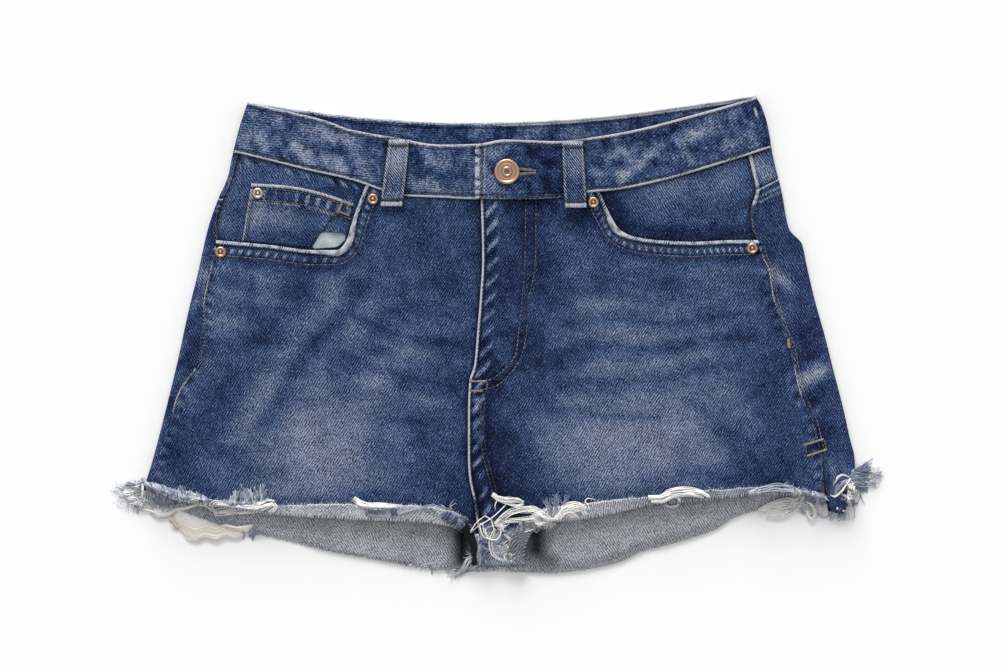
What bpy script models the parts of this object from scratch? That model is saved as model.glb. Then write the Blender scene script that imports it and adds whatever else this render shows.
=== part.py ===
"""Cut-off denim shorts lying flat with their front up, as separate closed solids.

The garment is a flattened tube: an upper layer of front panels, a lower layer of back panels
and yokes, and a rounded fold down each side.  Sizes are in millimetres until a mesh is made.
x runs across the garment, y up towards the waist, z up off the surface it lies on.
"""

import math

import bmesh
import bpy
import numpy as np

MM = 0.001

# Driving dimensions, mm
DENIM = 1.4  # leg panel wall
BAND = 2.6  # waistband: the strip folded double
FACING = 1.0  # pocket facings, coin pocket and pocket bag
LOOP = 1.8  # belt loop: folded denim
SEAM = 0.3  # clear width of a seam, and of a rest on the layer below
FOLD_R = 2.7  # outer radius of the side folds of the legs
BAND_FOLD_R = 3.3  # outer radius of the side folds of the waistband
OVERLAP = 10.0  # how far the left front runs under the right at the fly and centre seam
BAND_LEFT_END = 24.0  # x of the waistband's left end, under the buttoned flap
BAND_FLAP_END = -15.0  # x of the flap's end
HEM_R = 0.5  # inner radius of the turned-up hem
LOOP_W = 14.0
FRONT_ROWS = 12
BUTTON_D = 17.9
RIVET_D = 7.7
BUTTON_AT = (7.3, 115.5)
CENTRE_BACK = -2.0
STRIP_W = 1.2  # the narrow strip that the threads of a fringe grow from
STRIP_T = 0.9
ROOT = 1.6  # most that a thread measures along the strip
WAIST_Y = 96.0  # where the fly edge meets the waistband
FACING_TUCK = 8.0  # how far a facing runs on under its panel past the pocket mouth
HOLE_EYE = 3.0  # radius of the buttonhole's round end
HOLE_SLOT = 1.6  # width of its slot
HOLE_END = 27.0  # x of the slot's end

# Outlines, mm
FOLD_LEFT = [  # y, x of the fold's crest
    (-112, -249.5), (-91, -242.5), (-66, -235.7), (-40.5, -229.3), (-15.5, -223.3), (18, -216),
    (43.5, -209.7), (77, -202), (98, -194.6), (107, -190.4), (115, -187.6),
    (122.5, -186.2), (130, -184.5), (147, -180.2), (164.5, -174.5)]
FOLD_RIGHT = [  # y, x
    (-130, 251.5), (-103, 251), (-93, 251.5), (-83, 250.8), (-72, 248), (-49, 242.9),
    (-24, 236.4), (1.5, 230), (26.5, 223), (52.5, 217), (65, 214.3), (76, 205), (102, 199.9),
    (127.5, 193.7), (147, 190.3), (160, 186.5), (168.5, 182)]
BAND_TOP_FRONT = [  # x, y
    (-175, 164.5), (-145, 157.5), (-122, 152), (-102, 145), (-74, 140), (-39, 134.5),
    (-14, 135), (6, 138), (41, 137), (72, 140.5), (97, 145), (138, 155.5), (158, 161),
    (182, 168)]
BAND_BOTTOM_FRONT = [  # x, y
    (-186, 130), (-157, 123), (-133, 117), (-102, 110), (-63, 98.5), (-39, 97.5),
    (-15, 96.5), (18, 96.5), (45, 97.5), (63, 101), (84, 103), (118, 110), (151, 119.5),
    (178, 128), (193, 133)]
BAND_TOP_BACK = [  # x, y
    (-175, 164.5), (-145, 160), (-86, 153.3), (-28, 150.3), (6, 150.6), (41, 152), (84, 155.6),
    (125, 161), (182, 169)]
BAND_BOTTOM_BACK = [  # x, y
    (-186, 130), (-145, 121), (-86, 113.5), (-28, 110), (6, 110.5), (41, 112), (84, 117),
    (125, 123), (193, 133)]
YOKE_SEAM = [  # x, y
    (-196, 98), (-150, 88), (-100, 77), (-50, 66), (-2, 57), (50, 66), (100, 77), (150, 91),
    (202, 112)]
YOKE_AT_SIDE = 105.0  # height at which the yoke seams meet the side folds, about
YOKE_FALL = {-1: 0.0, 1: 0.44}  # slope at which they fall from there on the front
YOKE_FALL_END = 17.0  # distance from the fold at which they run level again
SIDE_SEAM_LEFT = [  # y, distance in from the fold on the front
    (-110, 3.7), (-89, 3.7), (-69, 3.7), (-60, 5), (-46, 5), (-35, 7), (-25, 12), (-17, 15.5),
    (-5, 15.5), (29, 8.5), (47, 8), (66, 8), (85, 3.7), (130, 3.7)]
SIDE_SEAM_RIGHT = [  # y, distance in from the fold on the front
    (-125, 18.5), (-87, 22.5), (-63, 22.5), (-38, 27), (-6, 25.5), (5, 27.5), (27, 28),
    (47, 26.5), (56, 29), (66, 29.6), (74, 25.5), (91, 23), (105, 17.5), (134, 17.2)]
FLY_EDGE = [  # y, x of the right front's lapped edge
    (-162, -13), (-147, -10.5), (-128, -14), (-114, -16), (-100, -19), (-86, -20),
    (-52, -20), (-31, -19), (-19, -15.5), (4, -13.5), (28, -11.5), (55, -10), (97, -11)]
POCKET_LEFT = [  # x, y along the mouth from the side seam to the waistband
    (-196.5, 67.8), (-158.5, 64.4), (-128, 60.8), (-112, 60.8), (-105.3, 67), (-101.5, 79),
    (-97.5, 91), (-91.5, 106)]
POCKET_RIGHT = [  # x, y along the mouth from the side seam to the waistband
    (184, 67.8), (165, 67.8), (138, 66.6), (112, 67.8), (96, 70.4), (86.5, 75), (81.5, 82),
    (72.5, 101)]
HEM_LEFT = [  # x, y, width of the turn-up
    (-246, -103, 1.5), (-225, -112, 2), (-197, -117, 3), (-155, -122.5, 5), (-102, -126, 9),
    (-53, -128, 10), (-32, -131, 9), (-21.5, -137, 6)]
HEM_RIGHT = [  # x, y, width of the turn-up
    (231, -114, 1.5), (216, -109.5, 2), (188, -109, 4), (151, -112.5, 5), (105, -117, 5.5),
    (67, -125, 9), (37, -128.5, 9), (23, -136, 9)]
STRIP_LEFT = [(-21.5, -137, 6), (-16.5, -147, 3), (-15.5, -160, 1.5)]  # x, y, turn-up
STRIP_RIGHT = [(23, -136, 9), (19, -147, 11), (18, -160, 11)]  # x, y, turn-up
BACK_HEM_LEFT = [  # distance round from the fold's crest (below 0 on the front), y
    (-16, -101), (-3.7, -104), (0, -106), (8, -110), (15, -115), (30, -121), (57, -131),
    (79, -137), (107, -142), (135, -150), (163, -155), (191, -160), (219, -163), (252, -164)]
BACK_HEM_RIGHT = [  # distance round from the fold's crest (below 0 on the front), y
    (-18.5, -122), (-9, -124), (-3, -109), (1.5, -95), (8, -106), (20, -116), (40, -119), (71, -122),
    (87, -126.5), (100, -134.5), (116, -140.5), (137, -146.5), (149, -149), (167, -157.5),
    (188, -162.5), (219, -165.5), (252, -164)]
COIN_TOP = [(-171.5, 107.5), (-148, 106), (-125, 101.7), (-100, 93.4)]  # x, y
COIN_BOTTOM = [(-178, 67.2), (-150, 65), (-131, 63.4), (-122.5, 73.5), (-114.5, 84), (-102, 85)]  # x, y
BAG_TOP = [(-129, 63.6), (-121.2, 73), (-105.5, 72.8)]  # x, y
BAG_BOTTOM = [(-127.8, 61.9), (-112.5, 63), (-106, 67.8)]  # x, y
RIVETS = [  # name, x, y, layer it sits on
    ("rivet_left_band", -86.5, 96.5, "front"), ("rivet_coin", -167, 100.5, "coin"),
    ("rivet_left_side", -193.2, 59.5, "front"), ("rivet_right_band", 67.8, 94.2, "front"),
    ("rivet_right_side", 179, 62, "front")]
BELT_LOOPS = [  # name, x at the top, x at the bottom
    ("belt_loop_left", -68, -73.5), ("belt_loop_right", 53, 55.5)]
LOOP_PROFILE = [  # fraction down the loop, height of its underside over the layer below
    (0.0, 0.4), (0.08, 0.9), (0.35, 1.2), (0.62, 1.0), (0.8, 1.0), (0.9, 0.6), (1.0, 0.4)]


def through(rows, at):
    """The smooth curve through a table's rows, whose first column is the place along it.
    Its slope is level at each high and low row, so that it never swings past one."""
    table = np.array(sorted(rows), dtype=float)
    place, value = table[:, 0], table[:, 1:]
    step = np.diff(value, axis=0) / np.diff(place)[:, None]
    before, after = step[:-1], step[1:]
    same = before * after > 0
    middle = np.where(same, 2 * before * after / np.where(same, before + after, 1), 0)
    slope = np.concatenate([step[:1], middle, step[-1:]])
    at = np.clip(np.asarray(at, dtype=float), place[0], place[-1])
    i = np.clip(np.searchsorted(place, at) - 1, 0, len(place) - 2)
    width = place[i + 1] - place[i]
    t = ((at - place[i]) / width)[..., None]
    width = width[..., None]
    out = (value[i] * (1 + 2 * t) * (1 - t) ** 2 + value[i + 1] * t * t * (3 - 2 * t)
           + slope[i] * width * t * (1 - t) ** 2 - slope[i + 1] * width * t * t * (1 - t))
    return out[..., 0] if out.shape[-1] == 1 else out


def path(rows, fractions):
    """Points at the given fractions of the length of the smooth curve through the rows."""
    points = np.array(rows, dtype=float)
    steps = np.hypot(*np.diff(points[:, :2], axis=0).T)
    length = np.concatenate([[0], np.cumsum(steps)])
    table = np.column_stack([length / length[-1], points])
    return through(table.tolist(), np.asarray(fractions))


def ease(t):
    """0 below 0, 1 above 1, and a smooth rise between."""
    t = np.clip(t, 0, 1)
    return t * t * (3 - 2 * t)


def fold_x(side, y):
    return through(FOLD_RIGHT if side > 0 else FOLD_LEFT, y)


def seam_in(side, y):
    return through(SIDE_SEAM_RIGHT if side > 0 else SIDE_SEAM_LEFT, y)


def lift(x, y):
    """How far the upper layer swells above the height of the side folds."""
    inside = np.minimum(x - fold_x(-1, y), fold_x(1, y) - x)
    swell = 0.75 + 0.25 * np.sin(x / 31 + y / 47) * np.cos(y / 38 - x / 90)
    ripple = 0.3 * np.sin(x / 12.5 + 0.6 * np.sin(y / 20)) * ease((-60 - y) / 50)
    return ease((inside - FOLD_R) / 45) * (swell + ripple)


def top_left(x, y):
    """Outer height of the left front, which dips to pass under the fly edge."""
    dip = ease((x - through(FLY_EDGE, y) + 32) / 28)
    low = 5.0 - 1.5 * ease((-128 - y) / 30)
    return (2 * FOLD_R + lift(x, y)) * (1 - dip) + low * dip


def top_right(x, y):
    """Outer height of the right front, raised in a ridge where it laps the left."""
    near = 1 - ease((x - through(FLY_EDGE, y) - OVERLAP) / 10)
    sink = ease((-128 - y) / 30)
    level = 2 * FOLD_R + lift(x, y) * (1 - sink) - 0.4 * sink
    return level * (1 - near) + (7.0 - 1.8 * sink) * near


def top_front(x, y):
    return np.where(x < through(FLY_EDGE, y), top_left(x, y), top_right(x, y))


def wrap(side, reach, y, radius, top):
    """A point of the flattened tube: reach is measured round from the crest of the side fold,
    below 0 on the upper layer and above 0 underneath."""
    crest = fold_x(side, y)
    turn = np.clip((reach + radius) / radius, 0, math.pi)
    before = np.minimum(reach + radius, 0)
    after = np.maximum(reach + radius - math.pi * radius, 0)
    x = crest - side * (radius - radius * np.sin(turn) - before + after)
    z = radius * (1 + np.cos(turn))
    z = np.where(before < 0, top(x, y), z)
    return np.stack([x, y, z], axis=-1)


def round_rows(side, front, top, bottom, radius, height, stations, spans, back=CENTRE_BACK):
    """A grid of points from a line on the front, round the side fold, to the centre back.

    front gives the reach of that line at a height y, top and bottom give y at a reach, and
    spans are the numbers of cells on the front, round the fold and underneath.  stations are
    the heights y of the rows where they start, at the line on the front."""
    y = np.asarray(stations, dtype=float)
    start = front(y[[0, -1]])
    high, low = top(start[0], y[0]), bottom(start[-1], y[-1])
    down = np.clip((high - y) / (high - low), 0, 1)[:, None]
    down[0], down[-1] = 0, 1
    zone = [index + np.linspace(0, 1, cells + 1)[:-1] for index, cells in enumerate(spans)]
    zone = np.concatenate(zone + [[len(spans)]])[None, :]
    y = y[:, None] + 0 * zone
    for _ in range(8):
        end = side * (fold_x(side, y) - back) + (math.pi - 2) * radius
        start = front(y)
        turned = radius * (math.pi - 1)
        reach = (start + (-radius - start) * np.clip(zone, 0, 1)
                 + math.pi * radius * np.clip(zone - 1, 0, 1)
                 + (end - turned) * np.clip(zone - 2, 0, 1))
        y = top(reach, y) * (1 - down) + bottom(reach, y) * down
    return wrap(side, reach, y, radius, height)


def patch(top, bottom, left, right):
    """The surface spanned by four border curves that share their corners."""
    u = np.linspace(0, 1, len(top))[None, :, None]
    v = np.linspace(0, 1, len(left))[:, None, None]
    ruled = (1 - v) * top[None] + v * bottom[None] + (1 - u) * left[:, None] + u * right[:, None]
    corners = ((1 - u) * (1 - v) * top[0] + u * (1 - v) * top[-1]
               + (1 - u) * v * bottom[0] + u * v * bottom[-1])
    return ruled - corners


def grid_faces(rows, columns, first=0):
    """Quads of a grid of points, facing up where rows run down and columns to the right."""
    index = first + np.arange(rows * columns).reshape(rows, columns)
    quads = np.stack([index[1:, :-1], index[1:, 1:], index[:-1, 1:], index[:-1, :-1]], axis=-1)
    return quads.reshape(-1, 4)


def finish(name, points, faces, colour, thickness=0.0):
    """The named object of a surface in mm, given a wall inwards where thickness is set."""
    mesh = bpy.data.meshes.new(name)
    mesh.from_pydata((np.asarray(points) * MM).tolist(), [], [tuple(map(int, f)) for f in faces])
    mesh.validate()
    tidy = bmesh.new()
    tidy.from_mesh(mesh)
    bmesh.ops.remove_doubles(tidy, verts=tidy.verts, dist=1e-6)
    if not thickness:
        bmesh.ops.recalc_face_normals(tidy, faces=tidy.faces)
    tidy.to_mesh(mesh)
    tidy.free()
    obj = new_object(name, mesh, colour)
    if thickness:
        wall = obj.modifiers.new("wall", "SOLIDIFY")
        wall.thickness = thickness * MM
        wall.offset = -1
    return obj


BLUE = (0.06, 0.09, 0.19)
DARK_BLUE = (0.04, 0.06, 0.14)
WHITE = (0.6, 0.58, 0.55)
COPPER = (0.55, 0.35, 0.25)


def turn_up(edge, inward, widths, height):
    """Rows of points that roll a raw hem upwards and lay it back over the panel."""
    rows = []
    for angle in np.linspace(0, math.pi, 4)[1:]:
        out = HEM_R * math.sin(angle)
        rows.append(np.column_stack([edge - inward * out, height + HEM_R * (1 - math.cos(angle))]))
    for part in (0.5, 1.0):
        laid = edge + inward * (widths * part)[:, None]
        rows.append(np.column_stack([laid, height + 2 * HEM_R]))
    return rows


def side_line(side, y):
    """x of the front panels' side edge, which parts from the back in a slit on the right."""
    slit = 1.8 * ease((-88 - y) / 25) if side > 0 else 0
    return fold_x(side, y) - side * (seam_in(side, y) + SEAM + slit)


def side_stations(side):
    """Heights y of the rows of a front panel where they meet the side seam."""
    mouth, hem = (POCKET_RIGHT, HEM_RIGHT) if side > 0 else (POCKET_LEFT, HEM_LEFT)
    return np.linspace(mouth[0][1], hem[0][1], FRONT_ROWS + 1)


def front_panel(name, side):
    """A front leg panel: the main surface, the narrow strip at the crotch and the turned-up hem.

    Gives back the raw edge's points, the directions into the cloth and the hem's fold."""
    height = top_left if side < 0 else top_right
    mouth, hem, strip = ((POCKET_LEFT, HEM_LEFT, STRIP_LEFT) if side < 0
                         else (POCKET_RIGHT, HEM_RIGHT, STRIP_RIGHT))
    mouth_cells, band_cells, strip_cells = 12, 8, 3
    hem_cells = mouth_cells + band_cells

    def centre(y):
        return through(FLY_EDGE, y) + (OVERLAP if side < 0 else 0)

    def raised(flat):
        return np.concatenate([flat, height(flat[..., 0], flat[..., 1])[..., None]], axis=-1)

    band_x = np.linspace(mouth[-1][0], hem[-1][0], band_cells + 1)[1:]
    band_x = np.concatenate([band_x, np.linspace(band_x[-1], centre(WAIST_Y), strip_cells + 1)[1:]])
    band = np.column_stack([band_x, through(BAND_BOTTOM_FRONT, band_x) - SEAM])
    top = np.concatenate([path(mouth, np.linspace(0, 1, mouth_cells + 1)), band])
    edge = path(hem, np.linspace(0, 1, hem_cells + 1))
    y_low = hem[-1][1]
    low_x = np.linspace(hem[-1][0], centre(y_low), strip_cells + 1)[1:]
    low = np.column_stack([low_x, np.full(strip_cells, y_low)])
    bottom = np.concatenate([edge[:, :2], low])
    y_side = side_stations(side)
    left = np.column_stack([side_line(side, y_side), y_side])
    y_centre = np.linspace(top[-1, 1], y_low, FRONT_ROWS + 1)
    right = np.column_stack([centre(y_centre), y_centre])
    top[0], bottom[0], top[-1], bottom[-1] = left[0], left[-1], right[0], right[-1]
    main = raised(patch(top, bottom, left, right))

    strip_edge = path(strip, np.linspace(0, 1, 4)[1:])
    across = np.linspace(0, 1, strip_cells + 1)[None, :, None]
    y_strip = strip_edge[:, 1]
    inner = np.column_stack([centre(y_strip), y_strip])
    low = raised(strip_edge[:, None, :2] * (1 - across) + inner[:, None] * across)
    low = np.concatenate([main[-1:, hem_cells:], low])

    border = np.concatenate([main[-1, :hem_cells], low[:, 0]])
    widths = np.concatenate([edge[:, 2], strip_edge[:, 2]])
    along = np.gradient(border[:, :2], axis=0)
    inward = np.column_stack([-along[:, 1], along[:, 0]]) / np.hypot(*along.T)[:, None] * -side
    inward[0] = (left[-2] - left[-1]) / np.hypot(*(left[-2] - left[-1]))
    rolled = np.stack([border] + turn_up(border[:, :2], inward, widths, border[:, 2]))
    grids = (main, low, rolled)
    firsts = np.cumsum([0] + [grid.shape[0] * grid.shape[1] for grid in grids])
    faces = np.concatenate([grid_faces(*grid.shape[:2], first) for grid, first in zip(grids, firsts)])
    points = np.concatenate([grid.reshape(-1, 3) for grid in grids])
    finish(name, points, faces[:, ::-side], BLUE, DENIM)
    return rolled[-1, :, :2], inward, border[:, :2]


def reach_x(side, reach, y, radius):
    """x of a reach round the side fold."""
    under = np.maximum(reach - (math.pi - 2) * radius, 0)
    return fold_x(side, y) - side * np.where(reach < 0, -reach, under)


def band_edge(side, radius, front_rows, back_rows):
    """The height y of an edge of the waistband at a reach round the side fold."""

    def edge(reach, y):
        x = reach_x(side, reach, y, radius)
        return np.where(reach < 0, through(front_rows, x), through(back_rows, x))

    return edge


def back_and_yoke(side):
    """The yoke and the back panel of one side, meeting at the yoke seam.

    Gives back the back panel's hem as points."""
    word, hem = ("right", BACK_HEM_RIGHT) if side > 0 else ("left", BACK_HEM_LEFT)
    band = band_edge(side, FOLD_R, BAND_BOTTOM_FRONT, BAND_BOTTOM_BACK)

    def front(y):
        return -seam_in(side, y)

    def yoke_seam(reach, y):
        x = reach_x(side, np.maximum(reach, 0), YOKE_AT_SIDE, FOLD_R)
        return through(YOKE_SEAM, x) + YOKE_FALL[side] * np.clip(reach, -YOKE_FALL_END, 0)

    y_band = band(front(130.0), 130.0) - SEAM
    y_yoke = yoke_seam(front(YOKE_AT_SIDE), YOKE_AT_SIDE)
    stations = side_stations(side)
    hem_y = through(hem, front(stations[-1]))
    stations = np.concatenate([np.linspace(y_yoke, stations[0], 4)[:-1], stations[:-1], [hem_y]])
    yoke = round_rows(side, front, lambda r, y: band(r, y) - SEAM,
                      lambda r, y: yoke_seam(r, y) + SEAM / 2, FOLD_R, top_front,
                      np.linspace(y_band, y_yoke, 4), (1, 6, 12), CENTRE_BACK + side * SEAM / 2)
    back = round_rows(side, front, lambda r, y: yoke_seam(r, y) - SEAM / 2,
                      lambda r, y: through(hem, r), FOLD_R, top_front,
                      stations, (1, 6, 12), CENTRE_BACK + side * SEAM / 2)
    for name, grid in (("yoke_" + word, yoke), ("back_" + word, back)):
        finish(name, grid.reshape(-1, 3), grid_faces(*grid.shape[:2])[:, ::side], BLUE, DENIM)
    return back[-1, :, :2]


def band_end_height(x, y):
    """Outer height of the waistband's left front, which sinks under the flap."""
    return 2 * BAND_FOLD_R - 0.6 * ease((x + 45) / 25)


def flap_height(x, y):
    """Outer height of the waistband's right front, raised where it laps the left end."""
    return 2 * BAND_FOLD_R + 2.3 * (1 - ease((x - BAND_LEFT_END - 2) / 20))


def waistband():
    """The folded strip from its left end under the flap, round the back, to the flap's end."""
    top = (BAND_TOP_FRONT, BAND_TOP_BACK)
    bottom = (BAND_BOTTOM_FRONT, BAND_BOTTOM_BACK)
    halves = []
    for side, end_x, height in ((-1, BAND_LEFT_END, band_end_height), (1, BAND_FLAP_END, flap_height)):

        def front(y):
            return -side * (fold_x(side, y) - end_x)

        halves.append(round_rows(side, front, band_edge(side, BAND_FOLD_R, *top),
                                 band_edge(side, BAND_FOLD_R, *bottom), BAND_FOLD_R, height,
                                 np.linspace(135, 97, 4), (16, 6, 10)))
    strip = np.concatenate([halves[0], halves[1][:, ::-1][:, 1:]], axis=1)
    return finish("waistband", strip.reshape(-1, 3), grid_faces(*strip.shape[:2])[:, ::-1],
                  BLUE, BAND)


def facing(name, side):
    """The facing under a pocket mouth, lower at the mouth than at the side seam and waistband."""
    mouth = POCKET_LEFT if side < 0 else POCKET_RIGHT
    columns, rows = 12, 5
    tuck = 3 * SEAM
    low = path(mouth, np.linspace(0, 1, columns + 1))
    along = np.gradient(low, axis=0)
    outward = np.column_stack([-along[:, 1], along[:, 0]]) / np.hypot(*along.T)[:, None] * side
    low = low + outward * FACING_TUCK
    x_side = fold_x(side, 128.0) - side * (seam_in(side, 128.0) + tuck)
    high_x = np.linspace(x_side, mouth[-1][0] - side * 3, columns + 1)
    high = np.column_stack([high_x, through(BAND_BOTTOM_FRONT, high_x) - SEAM])
    low[-1] = high[-1] - (0, 5.0)
    down = np.linspace(0, 1, rows + 1)
    y_left = high[0, 1] + (low[0, 1] - high[0, 1]) * down
    left = np.column_stack([fold_x(side, y_left) - side * (seam_in(side, y_left) + tuck), y_left])
    high[0], low[0] = left[0], left[-1]
    right = high[-1] + (low[-1] - high[-1]) * down[:, None]
    flat = patch(high, low, left, right)
    z = facing_height(flat[..., 0], flat[..., 1], side)
    faces = grid_faces(rows + 1, columns + 1)
    if side > 0:
        faces = faces[:, ::-1]
    points = np.concatenate([flat, z[..., None]], axis=-1)
    finish(name, points.reshape(-1, 3), faces, DARK_BLUE, FACING)


def mouth_distance(x, y, side):
    """Distance above the pocket mouth of points in its opening."""
    line = path(POCKET_LEFT if side < 0 else POCKET_RIGHT, np.linspace(0, 1, 60))
    gaps = np.hypot(x[..., None] - line[:, 0], y[..., None] - line[:, 1])
    nearest = gaps.argmin(axis=-1)
    along = np.gradient(line, axis=0)[nearest]
    offset = np.stack([x, y], axis=-1) - line[nearest]
    inside = (along[..., 0] * offset[..., 1] - along[..., 1] * offset[..., 0]) * -side > 0
    return np.where(inside, gaps.min(axis=-1), 0)


def facing_height(x, y, side):
    rise = ease((mouth_distance(x, y, side) - 14) / 20)
    return top_front(x, y) - DENIM - SEAM + (DENIM + SEAM - 0.5) * rise * 0.9


def laid_on_facing(name, high, low, columns, rows, colour, raise_by):
    """A small piece of cloth on the left facing, made from the facing's own height."""
    across = np.linspace(0, 1, columns + 1)
    top, bottom = path(high, across), path(low, across)
    down = np.linspace(0, 1, rows + 1)[:, None, None]
    flat = top[None] * (1 - down) + bottom[None] * down
    z = facing_height(flat[..., 0], flat[..., 1], -1) + raise_by
    points = np.concatenate([flat, z[..., None]], axis=-1)
    finish(name, points.reshape(-1, 3), grid_faces(rows + 1, columns + 1), colour, FACING)


def band_height(x, y):
    return np.where(x < -15, band_end_height(x, y), flap_height(x, y))


def belt_loop(name, x_top, x_bottom):
    """A strip sewn over the waistband, bowed off it between its two ends."""
    rows = 10
    down = np.linspace(0, 1, rows + 1)
    x_mid = x_top + (x_bottom - x_top) * down
    y_top = through(BAND_TOP_FRONT, x_top) - 1.0
    y_bottom = through(BAND_BOTTOM_FRONT, x_bottom) - 9.0
    y_mid = y_top + (y_bottom - y_top) * down
    below = y_mid < through(BAND_BOTTOM_FRONT, x_mid)
    across = np.linspace(-0.5, 0.5, 3)[None, :] * LOOP_W
    x = x_mid[:, None] + across
    y = y_mid[:, None] + 0 * x
    base = band_height(x, y)
    base = np.where(below[:, None], top_front(x, y) + 0.5, base)
    z = base + LOOP + through(LOOP_PROFILE, down)[:, None]
    points = np.stack([x, y, z], axis=-1)
    finish(name, points.reshape(-1, 3), grid_faces(rows + 1, 3), BLUE, LOOP)


def turned(name, rows, colour, steps, at, roughness=0.35):
    """A turned metal piece: its profile (radius, height) runs down the outside at +x."""
    mesh = bpy.data.meshes.new(name)
    points = [(radius * MM, 0, height * MM) for radius, height in rows]
    mesh.from_pydata(points, [(i, i + 1) for i in range(len(points) - 1)], [])
    obj = new_object(name, mesh, colour, roughness, 1.0)
    obj.location = [value * MM for value in at]
    sweep = obj.modifiers.new("turned", "SCREW")
    sweep.steps = sweep.render_steps = steps
    sweep.use_merge_vertices = True
    sweep.merge_threshold = 1e-5
    sweep.use_smooth_shade = True


def rivets():
    """Domed rivets with a raised rim, each resting on the cloth it holds."""
    radius = RIVET_D / 2
    profile = [(0, 1.1), (0.3 * radius, 1.0), (0.5 * radius, 0.6), (0.82 * radius, 1.0),
               (radius, 0.5), (radius, 0), (0, 0)]
    for name, x, y, layer in RIVETS:
        at = np.array([float(x)]), np.array([float(y)])
        spread = np.linspace(-0.7, 0.7, 7) * radius
        xs, ys = np.meshgrid(spread + x, spread + y)
        if layer == "coin":
            below = facing_height(xs, ys, -1).max() + SEAM + FACING
        else:
            below = top_front(xs, ys).max()
        turned(name, profile, COPPER, 16, (x, y, below + SEAM))


def button():
    """A ringed cap on a shank that passes through the buttonhole."""
    radius = BUTTON_D / 2
    shank, gap = 2.4, SEAM
    x, y = BUTTON_AT
    flap = float(flap_height(np.array(x), 0))
    floor = float(band_end_height(np.array(x), 0)) + gap
    low = floor - flap - gap
    profile = [(0, 2.2), (0.16 * radius, 2.1), (0.22 * radius, 1.5), (0.36 * radius, 1.5),
               (0.42 * radius, 2.1), (0.56 * radius, 2.1), (0.62 * radius, 1.6),
               (0.78 * radius, 1.7), (0.88 * radius, 2.4), (radius, 1.6), (radius, 0.6),
               (0.9 * radius, 0), (shank, 0), (shank, low), (0, low)]
    turned("button", profile, COPPER, 22, (x, y, flap + gap))


def buttonhole(band):
    """Cuts the keyhole slot through the flap of the waistband."""
    x, y = BUTTON_AT
    reach = BAND / 2 + 0.9
    z = float(flap_height(np.array(x), 0)) - BAND / 2
    mouth = math.asin(HOLE_SLOT / 2 / HOLE_EYE)
    outline = [(x + HOLE_EYE * math.cos(a), y + HOLE_EYE * math.sin(a))
               for a in np.linspace(mouth, 2 * math.pi - mouth, 14)]
    outline += [(HOLE_END, y - HOLE_SLOT / 2), (HOLE_END, y + HOLE_SLOT / 2)]
    mesh = bpy.data.meshes.new("buttonhole_cutter")
    shape = bmesh.new()
    floor = [shape.verts.new((px * MM, py * MM, (z - reach) * MM)) for px, py in outline]
    face = shape.faces.new(floor)
    lifted = bmesh.ops.extrude_face_region(shape, geom=[face])["geom"]
    corners = [g for g in lifted if isinstance(g, bmesh.types.BMVert)]
    bmesh.ops.translate(shape, verts=corners, vec=(0, 0, 2 * reach * MM))
    bmesh.ops.recalc_face_normals(shape, faces=shape.faces)
    shape.to_mesh(mesh)
    shape.free()
    cutter = bpy.data.objects.new("buttonhole_cutter", mesh)
    bpy.data.collections["cutters"].objects.link(cutter)
    cutter.hide_render = True
    cutter.display_type = "WIRE"
    cut = band.modifiers.new("buttonhole", "BOOLEAN")
    cut.operation = "DIFFERENCE"
    cut.object = cutter


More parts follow.
